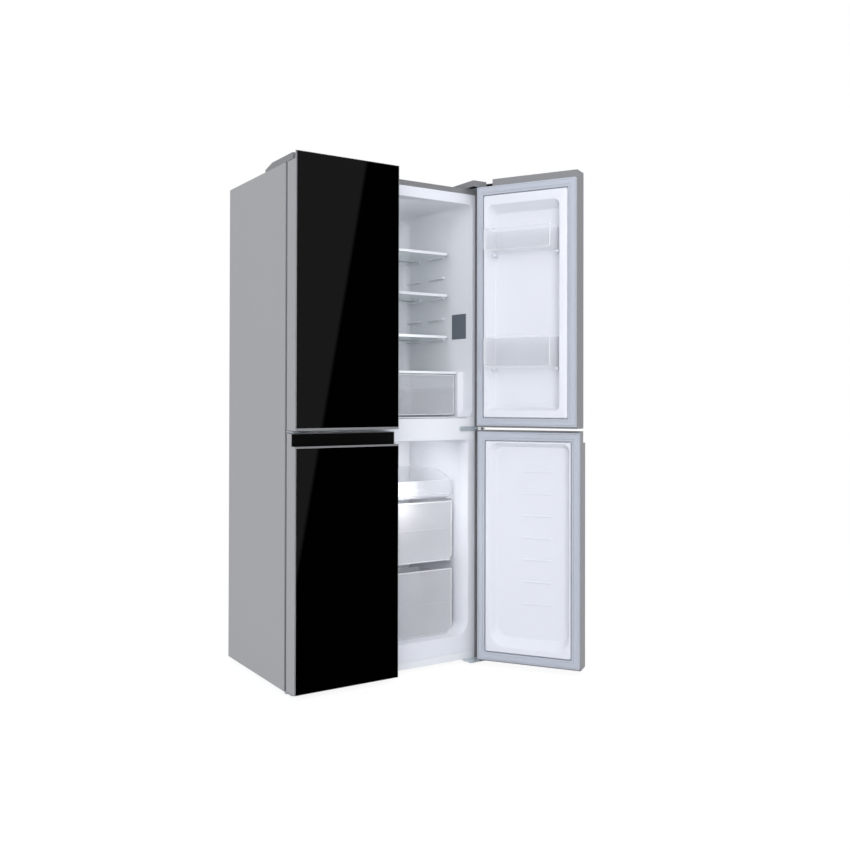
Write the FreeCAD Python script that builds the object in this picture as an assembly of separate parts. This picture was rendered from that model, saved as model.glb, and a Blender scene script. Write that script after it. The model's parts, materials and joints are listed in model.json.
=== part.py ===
import FreeCAD, Part
import math
import os

# Four-door refrigerator: one wide fresh-food compartment behind a pair of
# glass-fronted doors, and two freezer compartments behind the lower pair.
# Millimetres, +Z up, +Y to the back.  The origin is on the floor, below the
# middle of the cabinet.  The left doors are shut, the right doors stand open.

# ---------------------------------------------------------------- cabinet
WIDTH = 790.0
CABINET_DEPTH = 513.0
CABINET_TOP = 1776.0
FLOOR_GAP = 15.0
SHEET = 1.0
SIDE_RIM = 16.6
TOP_RIM = 19.7
TOE_TOP = 42.0
SEAM = 0.5
HALF = WIDTH / 2
FRONT = -CABINET_DEPTH / 2
BACK = CABINET_DEPTH / 2
RIM_X = HALF - SIDE_RIM
RIM_TOP = CABINET_TOP - TOP_RIM

# ---------------------------------------------------------------- doors
DOOR_THICK = 66.0
DOOR_GAP = 15.0
DOOR_RISE = 24.0
DOOR_BOTTOM = 20.0
UPPER_DOOR_BOTTOM = 882.0
DOOR_SEAM = 9.5
CENTRE_GAP = 2.9
DOOR_SHEET = 1.5
GLASS = 4.0
HINGE_SIDE_LIP = 4.5
BOTTOM_TRIM = 8.0
TOP_TRIM = 6.0
GRIP_HEIGHT = 42.5
GRIP_DEPTH = 30.0
GRIP_POCKET = 14.0
GRIP_WALL = 2.0
GRIP_END = 8.0
RECESS_WIDTH = 63.0
RECESS_DROP = 26.0
UPPER_OPEN = 119.0
LOWER_OPEN = 124.5
DOOR_BACK = FRONT - DOOR_GAP
DOOR_FRONT = DOOR_BACK - DOOR_THICK
DOOR_TOP = CABINET_TOP + DOOR_RISE
LOWER_DOOR_TOP = UPPER_DOOR_BOTTOM - DOOR_SEAM
GRIP_LOW = LOWER_DOOR_TOP - GRIP_HEIGHT
GRIP_BACK = DOOR_FRONT + GRIP_DEPTH
POCKET_LOW = GRIP_LOW - GRIP_POCKET
RECESS_Z = DOOR_TOP - RECESS_DROP
RECESS_X = HALF - RECESS_WIDTH

# ---------------------------------------------------------------- hinges
HINGE_INSET = 10.6
PIN_R = 4.0
PIN_FIT = 0.05
PIN_REACH = 14.0
PIN_WELL = 4.0
WELL_DEPTH = PIN_REACH + 6
HINGE_PLATE = 3.0
HINGE_ARM_IN = 20.0
HINGE_ARM_OUT = 7.6
HINGE_ARM_FRONT = 8.0
HINGE_PAD_IN = 45.0
HINGE_PAD_LENGTH = 130.0
MID_FLANGE_IN = 76.0
MID_FLANGE_DROP = 10.75
MID_FLANGE_RISE = 7.25
MID_FLANGE_R = 8.0
BOTTOM_PLATE_IN = 60.0
SCREW_HEAD_R = 4.5
SCREW_HEAD_H = 2.5
SCREW_R = 2.4
SCREW_FIT = 0.1
COVER_WALL = 2.0
COVER_LENGTH = 176.0
COVER_BACK_HEIGHT = 9.0
COVER_RAMP = 60.0
COVER_DROP = 1.0
COVER_FRONT = 11.0
COVER_OUT = 9.6
COVER_CLEARANCE = 1.9
HINGE_X = HALF - HINGE_INSET
HINGE_Y = GRIP_BACK + GRIP_WALL + PIN_R + PIN_WELL
HINGE_SEAM = (UPPER_DOOR_BOTTOM + LOWER_DOOR_TOP) / 2
TOP_SCREWS = ((HINGE_X - 16.4, FRONT + 60.0), (HINGE_X - 16.4, FRONT + 110.0), (HINGE_X - 32.4, FRONT + 85.0))
MID_SCREWS = (HINGE_X - 66.4, HINGE_X - 32.4)
BOTTOM_SCREWS = ((HINGE_X - 39.4, FRONT + 70.0), (HINGE_X - 39.4, FRONT + 110.0))

# ---------------------------------------------------------------- machine room
ROOM_DEPTH = 165.0
ROOM_HEIGHT = 235.0
PAN = 1.5
ROOM_FRONT = BACK - ROOM_DEPTH
ROOM_TOP = FLOOR_GAP + ROOM_HEIGHT
COMPRESSOR_INSET = 205.0
COMPRESSOR_R = 62.0
COMPRESSOR_X = COMPRESSOR_INSET - HALF
COMPRESSOR_LIFT = 14.0
CAN_HEIGHT = 110.0
BOWL_HEIGHT = 18.0
BOWL_R = 44.0
BASE_HALF_X = 92.0
BASE_HALF_Y = 48.0
GROMMET_X = 80.0
GROMMET_Y = 38.0
LOUVRES = 9
LOUVRE_PITCH = 15.0
LOUVRE_HALF = 120.0
LOUVRE_X = HALF - COMPRESSOR_INSET

# ---------------------------------------------------------------- liners
LINER = 2.0
BACK_FOAM = 88.0
FREEZER_BACK_FOAM = 92.0
FRIDGE_SILL = 35.8
FRIDGE_HEAD = 38.0
FRIDGE_LIP = 13.4
DOOR_ZONE_STEP = 13.0
SHELF_ZONE_STEP = 11.0
SHELF_ZONE_SETBACK = 141.0
CRISPER_ZONE_SETBACK = 57.0
STEP_RUN = 4.0
FRIDGE_CORNER = 28.0
BULGE_HEIGHT = 172.2
FRIDGE_BOTTOM = UPPER_DOOR_BOTTOM + FRIDGE_SILL
FRIDGE_TOP = RIM_TOP - FRIDGE_HEAD
FRIDGE_BACK = BACK - BACK_FOAM
FRIDGE_OPEN_HALF = RIM_X - FRIDGE_LIP
DOOR_ZONE_HALF = FRIDGE_OPEN_HALF - DOOR_ZONE_STEP
SHELF_HALF = DOOR_ZONE_HALF - SHELF_ZONE_STEP
BULGE_TOP = FRIDGE_BOTTOM + BULGE_HEIGHT
FREEZER_BOTTOM = 104.0
FREEZER_HEAD = 38.9
FREEZER_LIP = 29.9
FREEZER_INNER_X = 33.0
FLARE_DEPTH = 40.0
FLARE_SIDE = 23.5
FLARE_CENTRE = 3.0
FLARE_TOP = 4.6
FLARE_FLOOR = 2.0
HUMP_TOP_FOAM = 46.0
HUMP_FRONT_FOAM = 52.0
MOUTH_RADII = (12.0, 55.0, 20.0, 12.0)
DEEP_RADII = (12.0, 45.0, 14.0, 12.0)
FREEZER_OUTER_X = RIM_X - FREEZER_LIP
FREEZER_WALL = FREEZER_OUTER_X - FLARE_SIDE
FREEZER_CENTRE_WALL = FREEZER_INNER_X + FLARE_CENTRE
FREEZER_FLOOR = FREEZER_BOTTOM + FLARE_FLOOR
FREEZER_TOP = LOWER_DOOR_TOP - FREEZER_HEAD
FREEZER_CEILING = FREEZER_TOP - FLARE_TOP
FREEZER_BACK = BACK - FREEZER_BACK_FOAM
HUMP_TOP = ROOM_TOP + HUMP_TOP_FOAM
HUMP_FRONT = ROOM_FRONT - HUMP_FRONT_FOAM

# ---------------------------------------------------------------- shelves
COVER_HEIGHT = 173.2
LOWEST_SHELF = 140.0
SHELF_PITCH = 160.0
SHELF_SETBACK = 126.0
SHELF_GLASS = 4.0
SHELF_SIDE_GAP = 4.0
SHELF_LAP = 2.0
TRIM_HEIGHT = 9.0
TRIM_DEPTH = 14.0
TRIM_NOTCH = 6.0
RIB_DROP = 9.0
RIB_THICK = 9.0
RIB_REACH = 9.0
RIB_LENGTH = 105.0
RIB_BACK_LENGTH = 100.0
RIB_END_GAP = 3.0
COVER_SETBACK = 69.0
COVER_FRAME = 12.0
COVER_LEDGE = 5.0
LEG_HALF = 7.0
COVER_TOP = FRIDGE_BOTTOM + COVER_HEIGHT
SHELF_TOPS = tuple(COVER_TOP + LOWEST_SHELF + SHELF_PITCH * step for step in (2, 1, 0))
SHELF_REACH = SHELF_HALF - SHELF_SIDE_GAP

# ---------------------------------------------------------------- drawers
DRAWER_WALL = 2.5
DRAWER_FRONT = 4.0
DRAWER_LIP = 5.0
DRAWER_LIP_THICK = 3.0
DRAWER_LIP_SETBACK = 12.0
CRISPER_INNER_X = 32.0
CRISPER_GAP = 6.0
CRISPER_LIFT = 9.0
CRISPER_HEAD = 3.0
CRISPER_SIDE_DROP = 50.0
CRISPER_BACK_GAP = 40.0
CRISPER_RIDGE_DROP = 68.0
CRISPER_RIDGE = (23.0, 4.0)
FREEZER_FRONT_SETBACK = 58.0
DRAWER_SIDE_GAP = 12.0
DRAWER_BACK_GAP = 55.0
DRAWER_SIDE_DROP = 28.0
DRAWER_RIDGE = (5.0, 2.5)
DRAWER_RADII = (12.0, 33.0)
RAIL_GRIP = 7.0
RAIL_THICK = 8.0
RAIL_FRONT_GAP = 22.0
RAIL_BACK_GAP = 60.0
RUN_GAP = 0.5
LOWER_DRAWER_LIFT = 1.5
LOWER_DRAWER_HEIGHT = 241.5
LOWER_RIDGE_LIFT = 112.5
DRAWER_SPACING = 31.0
UPPER_DRAWER_HEIGHT = 223.0
UPPER_RIDGE_LIFT = 116.0
TRAY_SPACING = 14.0
TRAY_FRONT_HEIGHT = 64.0
TRAY_SIDE_HEIGHT = 96.0
TRAY_NOSE = 4.0
TRAY_SLOPE = (16.0, 95.0)
LOWER_DRAWER_BOTTOM = FREEZER_FLOOR + LOWER_DRAWER_LIFT
LOWER_DRAWER_TOP = LOWER_DRAWER_BOTTOM + LOWER_DRAWER_HEIGHT
UPPER_DRAWER_BOTTOM = LOWER_DRAWER_TOP + DRAWER_SPACING
UPPER_DRAWER_TOP = UPPER_DRAWER_BOTTOM + UPPER_DRAWER_HEIGHT
TRAY_BOTTOM = UPPER_DRAWER_TOP + TRAY_SPACING
TRAY_FRONT_TOP = TRAY_BOTTOM + TRAY_FRONT_HEIGHT
TRAY_SIDE_TOP = TRAY_BOTTOM + TRAY_SIDE_HEIGHT
DRAWER_X0 = FREEZER_CENTRE_WALL + DRAWER_SIDE_GAP
DRAWER_X1 = FREEZER_WALL - DRAWER_SIDE_GAP

# ---------------------------------------------------------------- cold air
DUCT_THICK = 28.0
DUCT_HALF = 110.0
DUCT_WALL = 3.0
DUCT_END_GAP = 30.0
PANEL_THICK = 6.0
PANEL_BACK_GAP = 37.0
OUTLET_PITCH = 14.0
OUTLET_HEIGHT = 6.0
OUTLET_INSET = 60.0
COIL_INSET = 30.0
COIL_DEPTH = 26.0
COIL_ROWS = 6
COIL_PITCH = 34.0
COIL_TUBE_R = 4.0
FINS = 14
FIN_THICK = 1.2
FAN_DROP = 94.0
FAN_R = 44.0
FAN_DEPTH = 14.0
FAN_BLADES = 5
HUB_R = 13.0
MOTOR_R = 20.0
AXLE_R = 3.0
FAN_X = (FREEZER_CENTRE_WALL + FREEZER_WALL) / 2
FAN_Z = FREEZER_CEILING - FAN_DROP
LAMP_SETBACK = 120.0
LAMP_HALF = 70.0
LAMP_DEPTH = 62.0
LAMP_DROP = 9.0

# ---------------------------------------------------------------- door linings
# Four amounts run: centre side, hinge side, bottom, top.
CREST = 13.5
LINER_SEAT = 2.0
GASKET_FACE = 14.0
GASKET_BASE = 9.0
BULB_OUTER = 5.0
BULB_INNER = 6.0
UPPER_GASKET_OUTER = (2.0, 5.0, 6.0, 27.0)
LOWER_GASKET_OUTER = (2.0, 5.0, 6.0, 5.0)
UPPER_GASKET_INNER = (31.1, 30.0, 35.0, 60.0)
LOWER_GASKET_INNER = (31.1, 34.0, 37.0, 37.5)
UPPER_PAN_INSET = (32.0, 15.0, 28.0, 38.0)
UPPER_PAN_DRAFT = (6.0, 19.0, 11.0, 28.0)
UPPER_PAN_DEPTH = 37.0
UPPER_MOUTH_RADII = (22.0, 22.0, 22.0, 22.0)
UPPER_FLOOR_RADII = (16.0, 16.0, 16.0, 16.0)
LOWER_PAN_INSET = (8.0, 20.0, 23.0, 9.0)
LOWER_PAN_DRAFT = (7.0, 18.0, 34.0, 14.0)
LOWER_PAN_DEPTH = 27.0
LOWER_MOUTH_RADII = (55.0, 62.0, 26.0, 26.0)
LOWER_FLOOR_RADII = (45.0, 50.0, 20.0, 20.0)
PAN_RIBS = 7
PAN_RIB_INSET = (63.0, 97.0, 126.2, 90.0)
PAN_RIB_HALF = 3.0
PAN_RIB_RISE = 2.5
BADGE_INSET = 81.0
BADGE_WIDTH = 76.0
BADGE_HEIGHT = 18.0
BADGE_DROP = 48.0
BADGE_RISE = 1.2
BIN_GAP = (4.0, 3.0)
BIN_BACK_GAP = 2.0
BIN_REACH = 66.5
BIN_LIP = 8.0
TOP_BIN_DROP = 278.0
TOP_BIN_HEIGHT = 83.0
EGG_BIN_LIFT = 220.0
EGG_BIN_HEIGHT = 110.0
REST_GAP = 1.0
REST_WIDTH = 13.0
REST_REACH = 26.0
REST_THICK = 10.0
TOP_BIN_LOW = DOOR_TOP - TOP_BIN_DROP
EGG_BIN_LOW = UPPER_DOOR_BOTTOM + EGG_BIN_LIFT

# ---------------------------------------------------------------- flip mullion
MULLION_LEFT = 29.0
MULLION_RIGHT = 27.0
MULLION_PIVOT_X = -MULLION_LEFT - 2.0
MULLION_PIVOT_SETBACK = 8.5
MULLION_THICK = 16.0
MULLION_GAP = 0.3
MULLION_END_GAP = 14.0
MULLION_PIN_R = 3.0
BARREL_R = 5.0
LUG = 8.0
LUG_REACH = 6.0
LUG_ROOT = 16.0
LUG_FRONT = 0.8

# ---------------------------------------------------------------- running gear
FOOT_R = 19.0
FOOT_BEVEL = 3.0
FOOT_THICK = 8.0
FOOT_NOTCHES = 8
NOTCH_R = 3.0
FOOT_INSET = 32.0
FOOT_SETBACK = 22.0
STUD_R = 5.0
STUD_REACH = 25.0
STUD_ROOM = 2.0
FOOT_X = HALF - FOOT_INSET
FOOT_Y = FRONT + FOOT_SETBACK
ROLLER_R = 12.5
ROLLER_WIDTH = 16.0
ROLLER_INSET = 60.0
ROLLER_SETBACK = 38.0
ROLLER_ROOM = 4.0
CHEEK_THICK = 2.0
CHEEK_GAP = 1.0
CHEEK_HALF = 9.0
STRAP_LENGTH = 22.0
STRAP_HEIGHT = 16.0
ROLLER_X = HALF - ROLLER_INSET
ROLLER_Y = BACK - ROLLER_SETBACK


def vec(x, y, z):
    return FreeCAD.Vector(x, y, z)


UP = vec(0, 0, 1)
BACKWARD = vec(0, 1, 0)
ACROSS = vec(1, 0, 0)
ORIGIN = vec(0, 0, 0)


def block(x0, x1, y0, y1, z0, z1):
    return Part.makeBox(x1 - x0, y1 - y0, z1 - z0, vec(x0, y0, z0))


def rod(x, y, z, radius, length, axis=UP):
    return Part.makeCylinder(radius, length, vec(x, y, z), axis)


def mirrored(shape):
    return shape.mirror(ORIGIN, ACROSS)


def both_sides(shape):
    return [shape, mirrored(shape)]


def joined(shapes):
    first = shapes[0]
    if len(shapes) == 1:
        return first
    return first.fuse(shapes[1:]).removeSplitter()


def outline(x0, x1, z0, z1, y, radii):
    """Rounded rectangle facing -Y; radii run low x0, low x1, top x1, top x0."""
    corners = [(x0, z0, 1, 1), (x1, z0, -1, 1), (x1, z1, -1, -1), (x0, z1, 1, -1)]
    points = []
    for (x, z, sx, sz), r in zip(corners, radii):
        bend = r * (1 - math.sqrt(0.5))
        side = vec(x, y, z + sz * r)
        level = vec(x + sx * r, y, z)
        middle = vec(x + sx * bend, y, z + sz * bend)
        turn = (side, middle, level) if sx == sz else (level, middle, side)
        points.append(turn)
    edges = []
    for index, turn in enumerate(points):
        after = points[(index + 1) % len(points)]
        edges.append(Part.Arc(*turn).toShape())
        edges.append(Part.makeLine(turn[2], after[0]))
    return Part.Wire(edges)


def rounded(x0, x1, y0, y1, z0, z1, radii):
    """Block with its four edges along Y rounded."""
    if not isinstance(radii, tuple):
        radii = (radii,) * 4
    face = Part.Face(outline(x0, x1, z0, z1, y0, radii))
    return face.extrude(vec(0, y1 - y0, 0))


def tapered(near, far):
    """Solid between two rounded outlines, each (x0, x1, z0, z1, y, radii)."""
    return Part.makeLoft([outline(*near), outline(*far)], True, True)


def plate_outline(points, z0, z1):
    """Prism from a plan outline."""
    corners = [vec(x, y, z0) for x, y in points]
    face = Part.Face(Part.makePolygon(corners + corners[:1]))
    return face.extrude(vec(0, 0, z1 - z0))


def inset(edges, amounts):
    """Rectangle (x0, x1, z0, z1) pulled in by four amounts."""
    return (edges[0] + amounts[0], edges[1] - amounts[1], edges[2] + amounts[2], edges[3] - amounts[3])


def side_profile(points, x0, x1):
    """Prism along X from a (y, z) outline."""
    corners = [vec(x0, y, z) for y, z in points]
    face = Part.Face(Part.makePolygon(corners + corners[:1]))
    return face.extrude(vec(x1 - x0, 0, 0))


# ================================================================ cabinet
def fridge_space(grow):
    """Fresh-food compartment, larger all round by grow; open at the front."""
    step_y = FRONT + SHELF_ZONE_SETBACK + grow
    side = [
        (FRIDGE_OPEN_HALF + grow, FRONT),
        (DOOR_ZONE_HALF + grow, step_y),
        (SHELF_HALF + grow, step_y + STEP_RUN),
        (SHELF_HALF + grow, FRIDGE_BACK + grow),
    ]
    points = side + [(-x, y) for x, y in reversed(side)]
    low = FRIDGE_BOTTOM - grow
    high = FRIDGE_TOP + grow
    space = plate_outline(points, low, high)
    reach = FRIDGE_OPEN_HALF + grow
    section = rounded(-reach, reach, FRONT, FRIDGE_BACK + grow, low, high, FRIDGE_CORNER + grow)
    space = space.common(section)
    bulge_front = FRONT + CRISPER_ZONE_SETBACK + grow
    bulge_back = step_y + STEP_RUN + 2
    bulge = block(SHELF_HALF + grow, HALF, bulge_front, bulge_back, low - 1, BULGE_TOP - grow)
    return space.cut(both_sides(bulge))


def freezer_space(grow):
    """Right freezer compartment, larger all round by grow; open at the front."""
    radii_mouth = tuple(radius + grow for radius in MOUTH_RADII)
    radii_deep = tuple(radius + grow for radius in DEEP_RADII)
    mouth = (
        FREEZER_INNER_X - grow,
        FREEZER_OUTER_X + grow,
        FREEZER_BOTTOM - grow,
        FREEZER_TOP + grow,
        FRONT,
        radii_mouth,
    )
    x0 = FREEZER_CENTRE_WALL - grow
    x1 = FREEZER_WALL + grow
    z0 = FREEZER_FLOOR - grow
    z1 = FREEZER_CEILING + grow
    deep_y = FRONT + FLARE_DEPTH
    flare = tapered(mouth, (x0, x1, z0, z1, deep_y, radii_deep))
    deep = rounded(x0, x1, deep_y, FREEZER_BACK + grow, z0, z1, radii_deep)
    hump = block(x0 - 1, x1 + 1, HUMP_FRONT + grow, FREEZER_BACK + grow + 1, z0 - 1, HUMP_TOP - grow)
    return joined([flare, deep]).cut(hump)


def cabinet_shell():
    """Steel wrapper: sides, top and the narrow rim round the front."""
    outer = block(-HALF, HALF, FRONT, BACK, FLOOR_GAP, CABINET_TOP)
    inside = HALF - SHEET
    hollow = block(-inside, inside, FRONT + SHEET, BACK, FLOOR_GAP, CABINET_TOP - SHEET)
    mouth = block(-RIM_X, RIM_X, FRONT, FRONT + SHEET, FLOOR_GAP, RIM_TOP)
    return outer.cut([hollow, mouth])


def back_panel():
    inside = HALF - SHEET
    return block(-inside, inside, BACK - SHEET, BACK, ROOM_TOP + PAN, CABINET_TOP - SHEET)


def wheel_wells():
    """Holes in the floor sheet that the rollers and their brackets stand in."""
    wide = ROLLER_WIDTH / 2 + CHEEK_GAP + CHEEK_THICK + ROLLER_ROOM - 1
    long = ROLLER_R + ROLLER_ROOM
    well = block(
        ROLLER_X - wide, ROLLER_X + wide, ROLLER_Y - long, ROLLER_Y + long, FLOOR_GAP, FLOOR_GAP + PAN
    )
    return both_sides(well)


def stud_hole(radius, z0, z1):
    hole = rod(FOOT_X, FOOT_Y, z0, radius, z1 - z0)
    return both_sides(hole)


def base_pan():
    """Bent floor sheet: flat under the foam, with a step over the machine room."""
    inside = HALF - SHEET
    floor = block(-inside, inside, FRONT + LINER, BACK - SHEET, FLOOR_GAP, FLOOR_GAP + PAN)
    riser = block(-inside, inside, ROOM_FRONT - PAN, ROOM_FRONT, FLOOR_GAP, ROOM_TOP + PAN)
    ledge = block(-inside, inside, ROOM_FRONT - PAN, BACK - SHEET, ROOM_TOP, ROOM_TOP + PAN)
    pan = joined([floor, riser, ledge])
    return pan.cut(wheel_wells() + stud_hole(STUD_R + 1, FLOOR_GAP, FLOOR_GAP + PAN))


def cabinet_foam():
    """Insulation that fills everything between the wrapper and the liners."""
    inside = HALF - SHEET
    body = block(-inside, inside, FRONT + LINER, BACK - SHEET, FLOOR_GAP + PAN, CABINET_TOP - SHEET)
    room = block(-inside, inside, ROOM_FRONT - PAN, BACK, FLOOR_GAP, ROOM_TOP + PAN)
    cold = [fridge_space(LINER)] + both_sides(freezer_space(LINER))
    return body.cut([room] + cold + stud_hole(STUD_R + STUD_ROOM, FLOOR_GAP, FOOT_THICK + STUD_REACH + 14))


def shelf_ribs():
    """Support ribs on one side wall, at each shelf and half way between shelves."""
    ribs = []
    pitch = SHELF_PITCH / 2
    heights = [SHELF_TOPS[0] - RIB_DROP - pitch * step for step in range(2 * len(SHELF_TOPS) - 1)]
    y_front = FRONT + SHELF_ZONE_SETBACK + STEP_RUN + 1
    y_rear = FRIDGE_BACK - RIB_END_GAP
    spans = [(y_front, y_front + RIB_LENGTH), (y_rear - RIB_BACK_LENGTH, y_rear)]
    for top in heights:
        for y0, y1 in spans:
            ribs.append(block(SHELF_HALF - RIB_REACH, SHELF_HALF + 1, y0, y1, top - RIB_THICK, top))
    return ribs


def fridge_liner():
    skin = fridge_space(LINER).cut(fridge_space(0))
    flange = block(-RIM_X, RIM_X, FRONT, FRONT + LINER, FRIDGE_BOTTOM, RIM_TOP)
    flange = flange.cut(fridge_space(0))
    ribs = shelf_ribs()
    return joined([skin, flange] + ribs + [mirrored(rib) for rib in ribs])


def freezer_rails():
    """Ledges on both side walls that carry the tray and the upper drawer."""
    rails = []
    y0 = FRONT + FREEZER_FRONT_SETBACK + RAIL_FRONT_GAP
    y1 = FREEZER_BACK - RAIL_BACK_GAP
    ledge = DRAWER_SIDE_GAP + RAIL_GRIP
    x0 = FREEZER_CENTRE_WALL
    for bottom in (TRAY_BOTTOM, UPPER_DRAWER_BOTTOM):
        top = bottom - RUN_GAP
        rails.append(block(FREEZER_WALL - ledge, FREEZER_WALL + 1, y0, y1, top - RAIL_THICK, top))
        rails.append(block(x0 - 1, x0 + ledge, y0, y1, top - RAIL_THICK, top))
    return rails


def freezer_liners():
    skin = freezer_space(LINER).cut(freezer_space(0))
    inner = FREEZER_INNER_X - LINER
    flange = block(inner, RIM_X, FRONT, FRONT + LINER, TOE_TOP, FREEZER_TOP + LINER)
    flange = flange.cut(freezer_space(0))
    liner = joined([skin, flange] + freezer_rails())
    return both_sides(liner)


def mullion_rail():
    """White T-shaped front cover between the three compartments."""
    bar = block(-RIM_X, RIM_X, FRONT, FRONT + LINER, FREEZER_TOP + LINER, FRIDGE_BOTTOM)
    bar = bar.cut(fridge_space(LINER))
    post_x = FREEZER_INNER_X - LINER
    post = block(-post_x, post_x, FRONT, FRONT + LINER, TOE_TOP, FREEZER_TOP + LINER)
    return joined([bar, post])


def toe_strip():
    """Strip below the freezer mouths, in front of the base pan."""
    return block(-RIM_X, RIM_X, FRONT, FRONT + LINER, FLOOR_GAP, TOE_TOP - SEAM)


# ================================================================ cold compartments
def slots(x0, x1, y0, y1, z0, count, pitch, height):
    """A stack of level slots, counted upwards from z0."""
    return [block(x0, x1, y0, y1, z0 + i * pitch, z0 + i * pitch + height) for i in range(count)]


def fridge_air_duct():
    """Hollow duct on the back wall, with outlet slots at each shelf space."""
    y0 = FRIDGE_BACK - DUCT_THICK
    z0 = COVER_TOP + DUCT_END_GAP
    z1 = FRIDGE_TOP - DUCT_END_GAP - 10
    wall = DUCT_WALL
    body = rounded(-DUCT_HALF, DUCT_HALF, y0, FRIDGE_BACK, z0, z1, 18.0)
    core = rounded(wall - DUCT_HALF, DUCT_HALF - wall, y0 + wall, FRIDGE_BACK, z0 + wall, z1 - wall, 15.0)
    cuts = [core]
    half = DUCT_HALF / 4 + 4.5
    for top in SHELF_TOPS:
        for side in (-1, 1):
            x = side * DUCT_HALF / 2
            cuts += slots(x - half, x + half, y0 - 1, y0 + wall + 1, top + 60, 3, 12, 5)
    return body.cut(cuts)


def panel_span():
    """Front and back of the panel behind each freezer compartment."""
    y1 = FREEZER_BACK - PANEL_BACK_GAP
    return y1 - PANEL_THICK, y1


def freezer_air_ducts():
    """Panel at the back of each freezer; the right one has the fan's grille."""
    x0 = FREEZER_CENTRE_WALL + 1
    x1 = FREEZER_WALL - 1
    y0, y1 = panel_span()
    z1 = FREEZER_CEILING - 1
    panel = rounded(x0, x1, y0, y1, HUMP_TOP, z1, (1.0, 1.0, 13.0, 11.0))
    near = y0 - 1
    far = y1 + 1
    left = x0 + OUTLET_INSET
    right = x1 - OUTLET_INSET
    cuts = []
    for low, count in ((HUMP_TOP + 60, 4), (UPPER_DRAWER_TOP + 20, 3)):
        cuts += slots(left, right, near, far, low, count, OUTLET_PITCH, OUTLET_HEIGHT)
    half = FAN_R - 6
    left = FAN_X - half
    right = FAN_X + half
    grille = slots(left, right, near, far, FAN_Z - half, 6, OUTLET_PITCH, OUTLET_HEIGHT)
    return [panel.cut(cuts + grille), mirrored(panel.cut(cuts))]


def evaporator():
    """Finned coil behind the right freezer panel, with the fan motor above it."""
    x0 = FREEZER_CENTRE_WALL + COIL_INSET - 3
    x1 = FREEZER_WALL - COIL_INSET
    y1 = FREEZER_BACK - 4
    y0 = y1 - COIL_DEPTH
    z0 = HUMP_TOP + COIL_INSET
    pieces = []
    for row in range(COIL_ROWS):
        z = z0 + 20 + row * COIL_PITCH
        pieces.append(rod(x0, (y0 + y1) / 2, z, COIL_TUBE_R, x1 - x0, ACROSS))
    spacing = (x1 - x0 - 12) / (FINS - 1)
    for i in range(FINS):
        x = x0 + 5 + i * spacing
        pieces.append(block(x, x + FIN_THICK, y0, y1, z0, z0 + COIL_ROWS * COIL_PITCH + 6))
    coil = joined(pieces)
    motor = rod(FAN_X, y1 - 10, FAN_Z, MOTOR_R, 14, BACKWARD)
    shaft = rod(FAN_X, y0 - 4, FAN_Z, AXLE_R, 22, BACKWARD)
    return [coil, joined([motor, shaft])]


def evaporator_fan():
    """Bladed fan on the motor shaft, turning about Y."""
    y0 = FREEZER_BACK - 32
    middle = y0 + FAN_DEPTH / 2
    hub = rod(FAN_X, y0, FAN_Z, HUB_R, FAN_DEPTH, BACKWARD)
    blades = []
    for i in range(FAN_BLADES):
        blade = block(FAN_X + 8, FAN_X + FAN_R, middle - 1, middle + 1, FAN_Z - HUB_R, FAN_Z + HUB_R)
        blade.rotate(vec(FAN_X, middle, FAN_Z), ACROSS, 24)
        blade.rotate(vec(FAN_X, middle, FAN_Z), BACKWARD, 360 / FAN_BLADES * i)
        blades.append(blade)
    rim = rod(FAN_X, y0 - 1, FAN_Z, FAN_R, FAN_DEPTH + 2, BACKWARD)
    wheel = joined([hub] + blades).common(rim)
    return wheel.cut(rod(FAN_X, y0 - 1, FAN_Z, AXLE_R + PIN_FIT, FAN_DEPTH + 2, BACKWARD))


def ceiling_lamp():
    """Lens set against the fresh-food ceiling."""
    y = FRONT + LAMP_SETBACK
    z = FRIDGE_TOP - LAMP_DROP
    return rounded(-LAMP_HALF, LAMP_HALF, y, y + LAMP_DEPTH, z, FRIDGE_TOP, (4.0, 4.0, 1.0, 1.0))


def shelf_back():
    """Rear edge of the panes, just in front of the air duct."""
    return FRIDGE_BACK - DUCT_THICK - 2 * SHELF_LAP


def cover_pane_half():
    return SHELF_REACH - COVER_FRAME


def glass_shelves():
    """Three shelf panes and the pane over the crispers."""
    panes = []
    y0 = FRONT + SHELF_SETBACK + SHELF_LAP
    y1 = shelf_back()
    for top in SHELF_TOPS:
        z0 = top - RIB_DROP
        panes.append(block(-SHELF_REACH, SHELF_REACH, y0, y1, z0, z0 + SHELF_GLASS))
    half = cover_pane_half()
    z1 = COVER_TOP - SHELF_LAP
    y0 = FRONT + COVER_SETBACK + COVER_FRAME
    panes.append(block(-half, half, y0, y1 - COVER_FRAME, z1 - SHELF_GLASS, z1))
    return panes


def shelf_trims():
    """Channel trims clipped over the front and rear edges of the shelf panes."""
    trims = []
    reach = SHELF_REACH
    inner = reach - TRIM_NOTCH
    y_front = FRONT + SHELF_SETBACK
    y_rear = shelf_back() + SHELF_LAP
    for top in SHELF_TOPS:
        low = top - RIB_DROP
        high = low + SHELF_GLASS
        bottom = top - TRIM_HEIGHT - 1
        y1 = y_front + TRIM_DEPTH
        front = block(-reach, reach, y_front, y1, bottom, top)
        slot = block(-reach, reach, y_front + SHELF_LAP, y1, low, high)
        notch = block(inner, reach, y_front, y1, bottom, low)
        trims.append(front.cut([slot] + both_sides(notch)))
        y0 = y_rear - TRIM_DEPTH
        bottom = low - 1.5
        rear = block(-reach, reach, y0, y_rear, bottom, top)
        slot = block(-reach, reach, y0, y_rear - SHELF_LAP, low, high)
        notch = block(inner, reach, y0, y_rear, bottom, low)
        trims.append(rear.cut([slot] + both_sides(notch)))
    return trims


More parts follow.
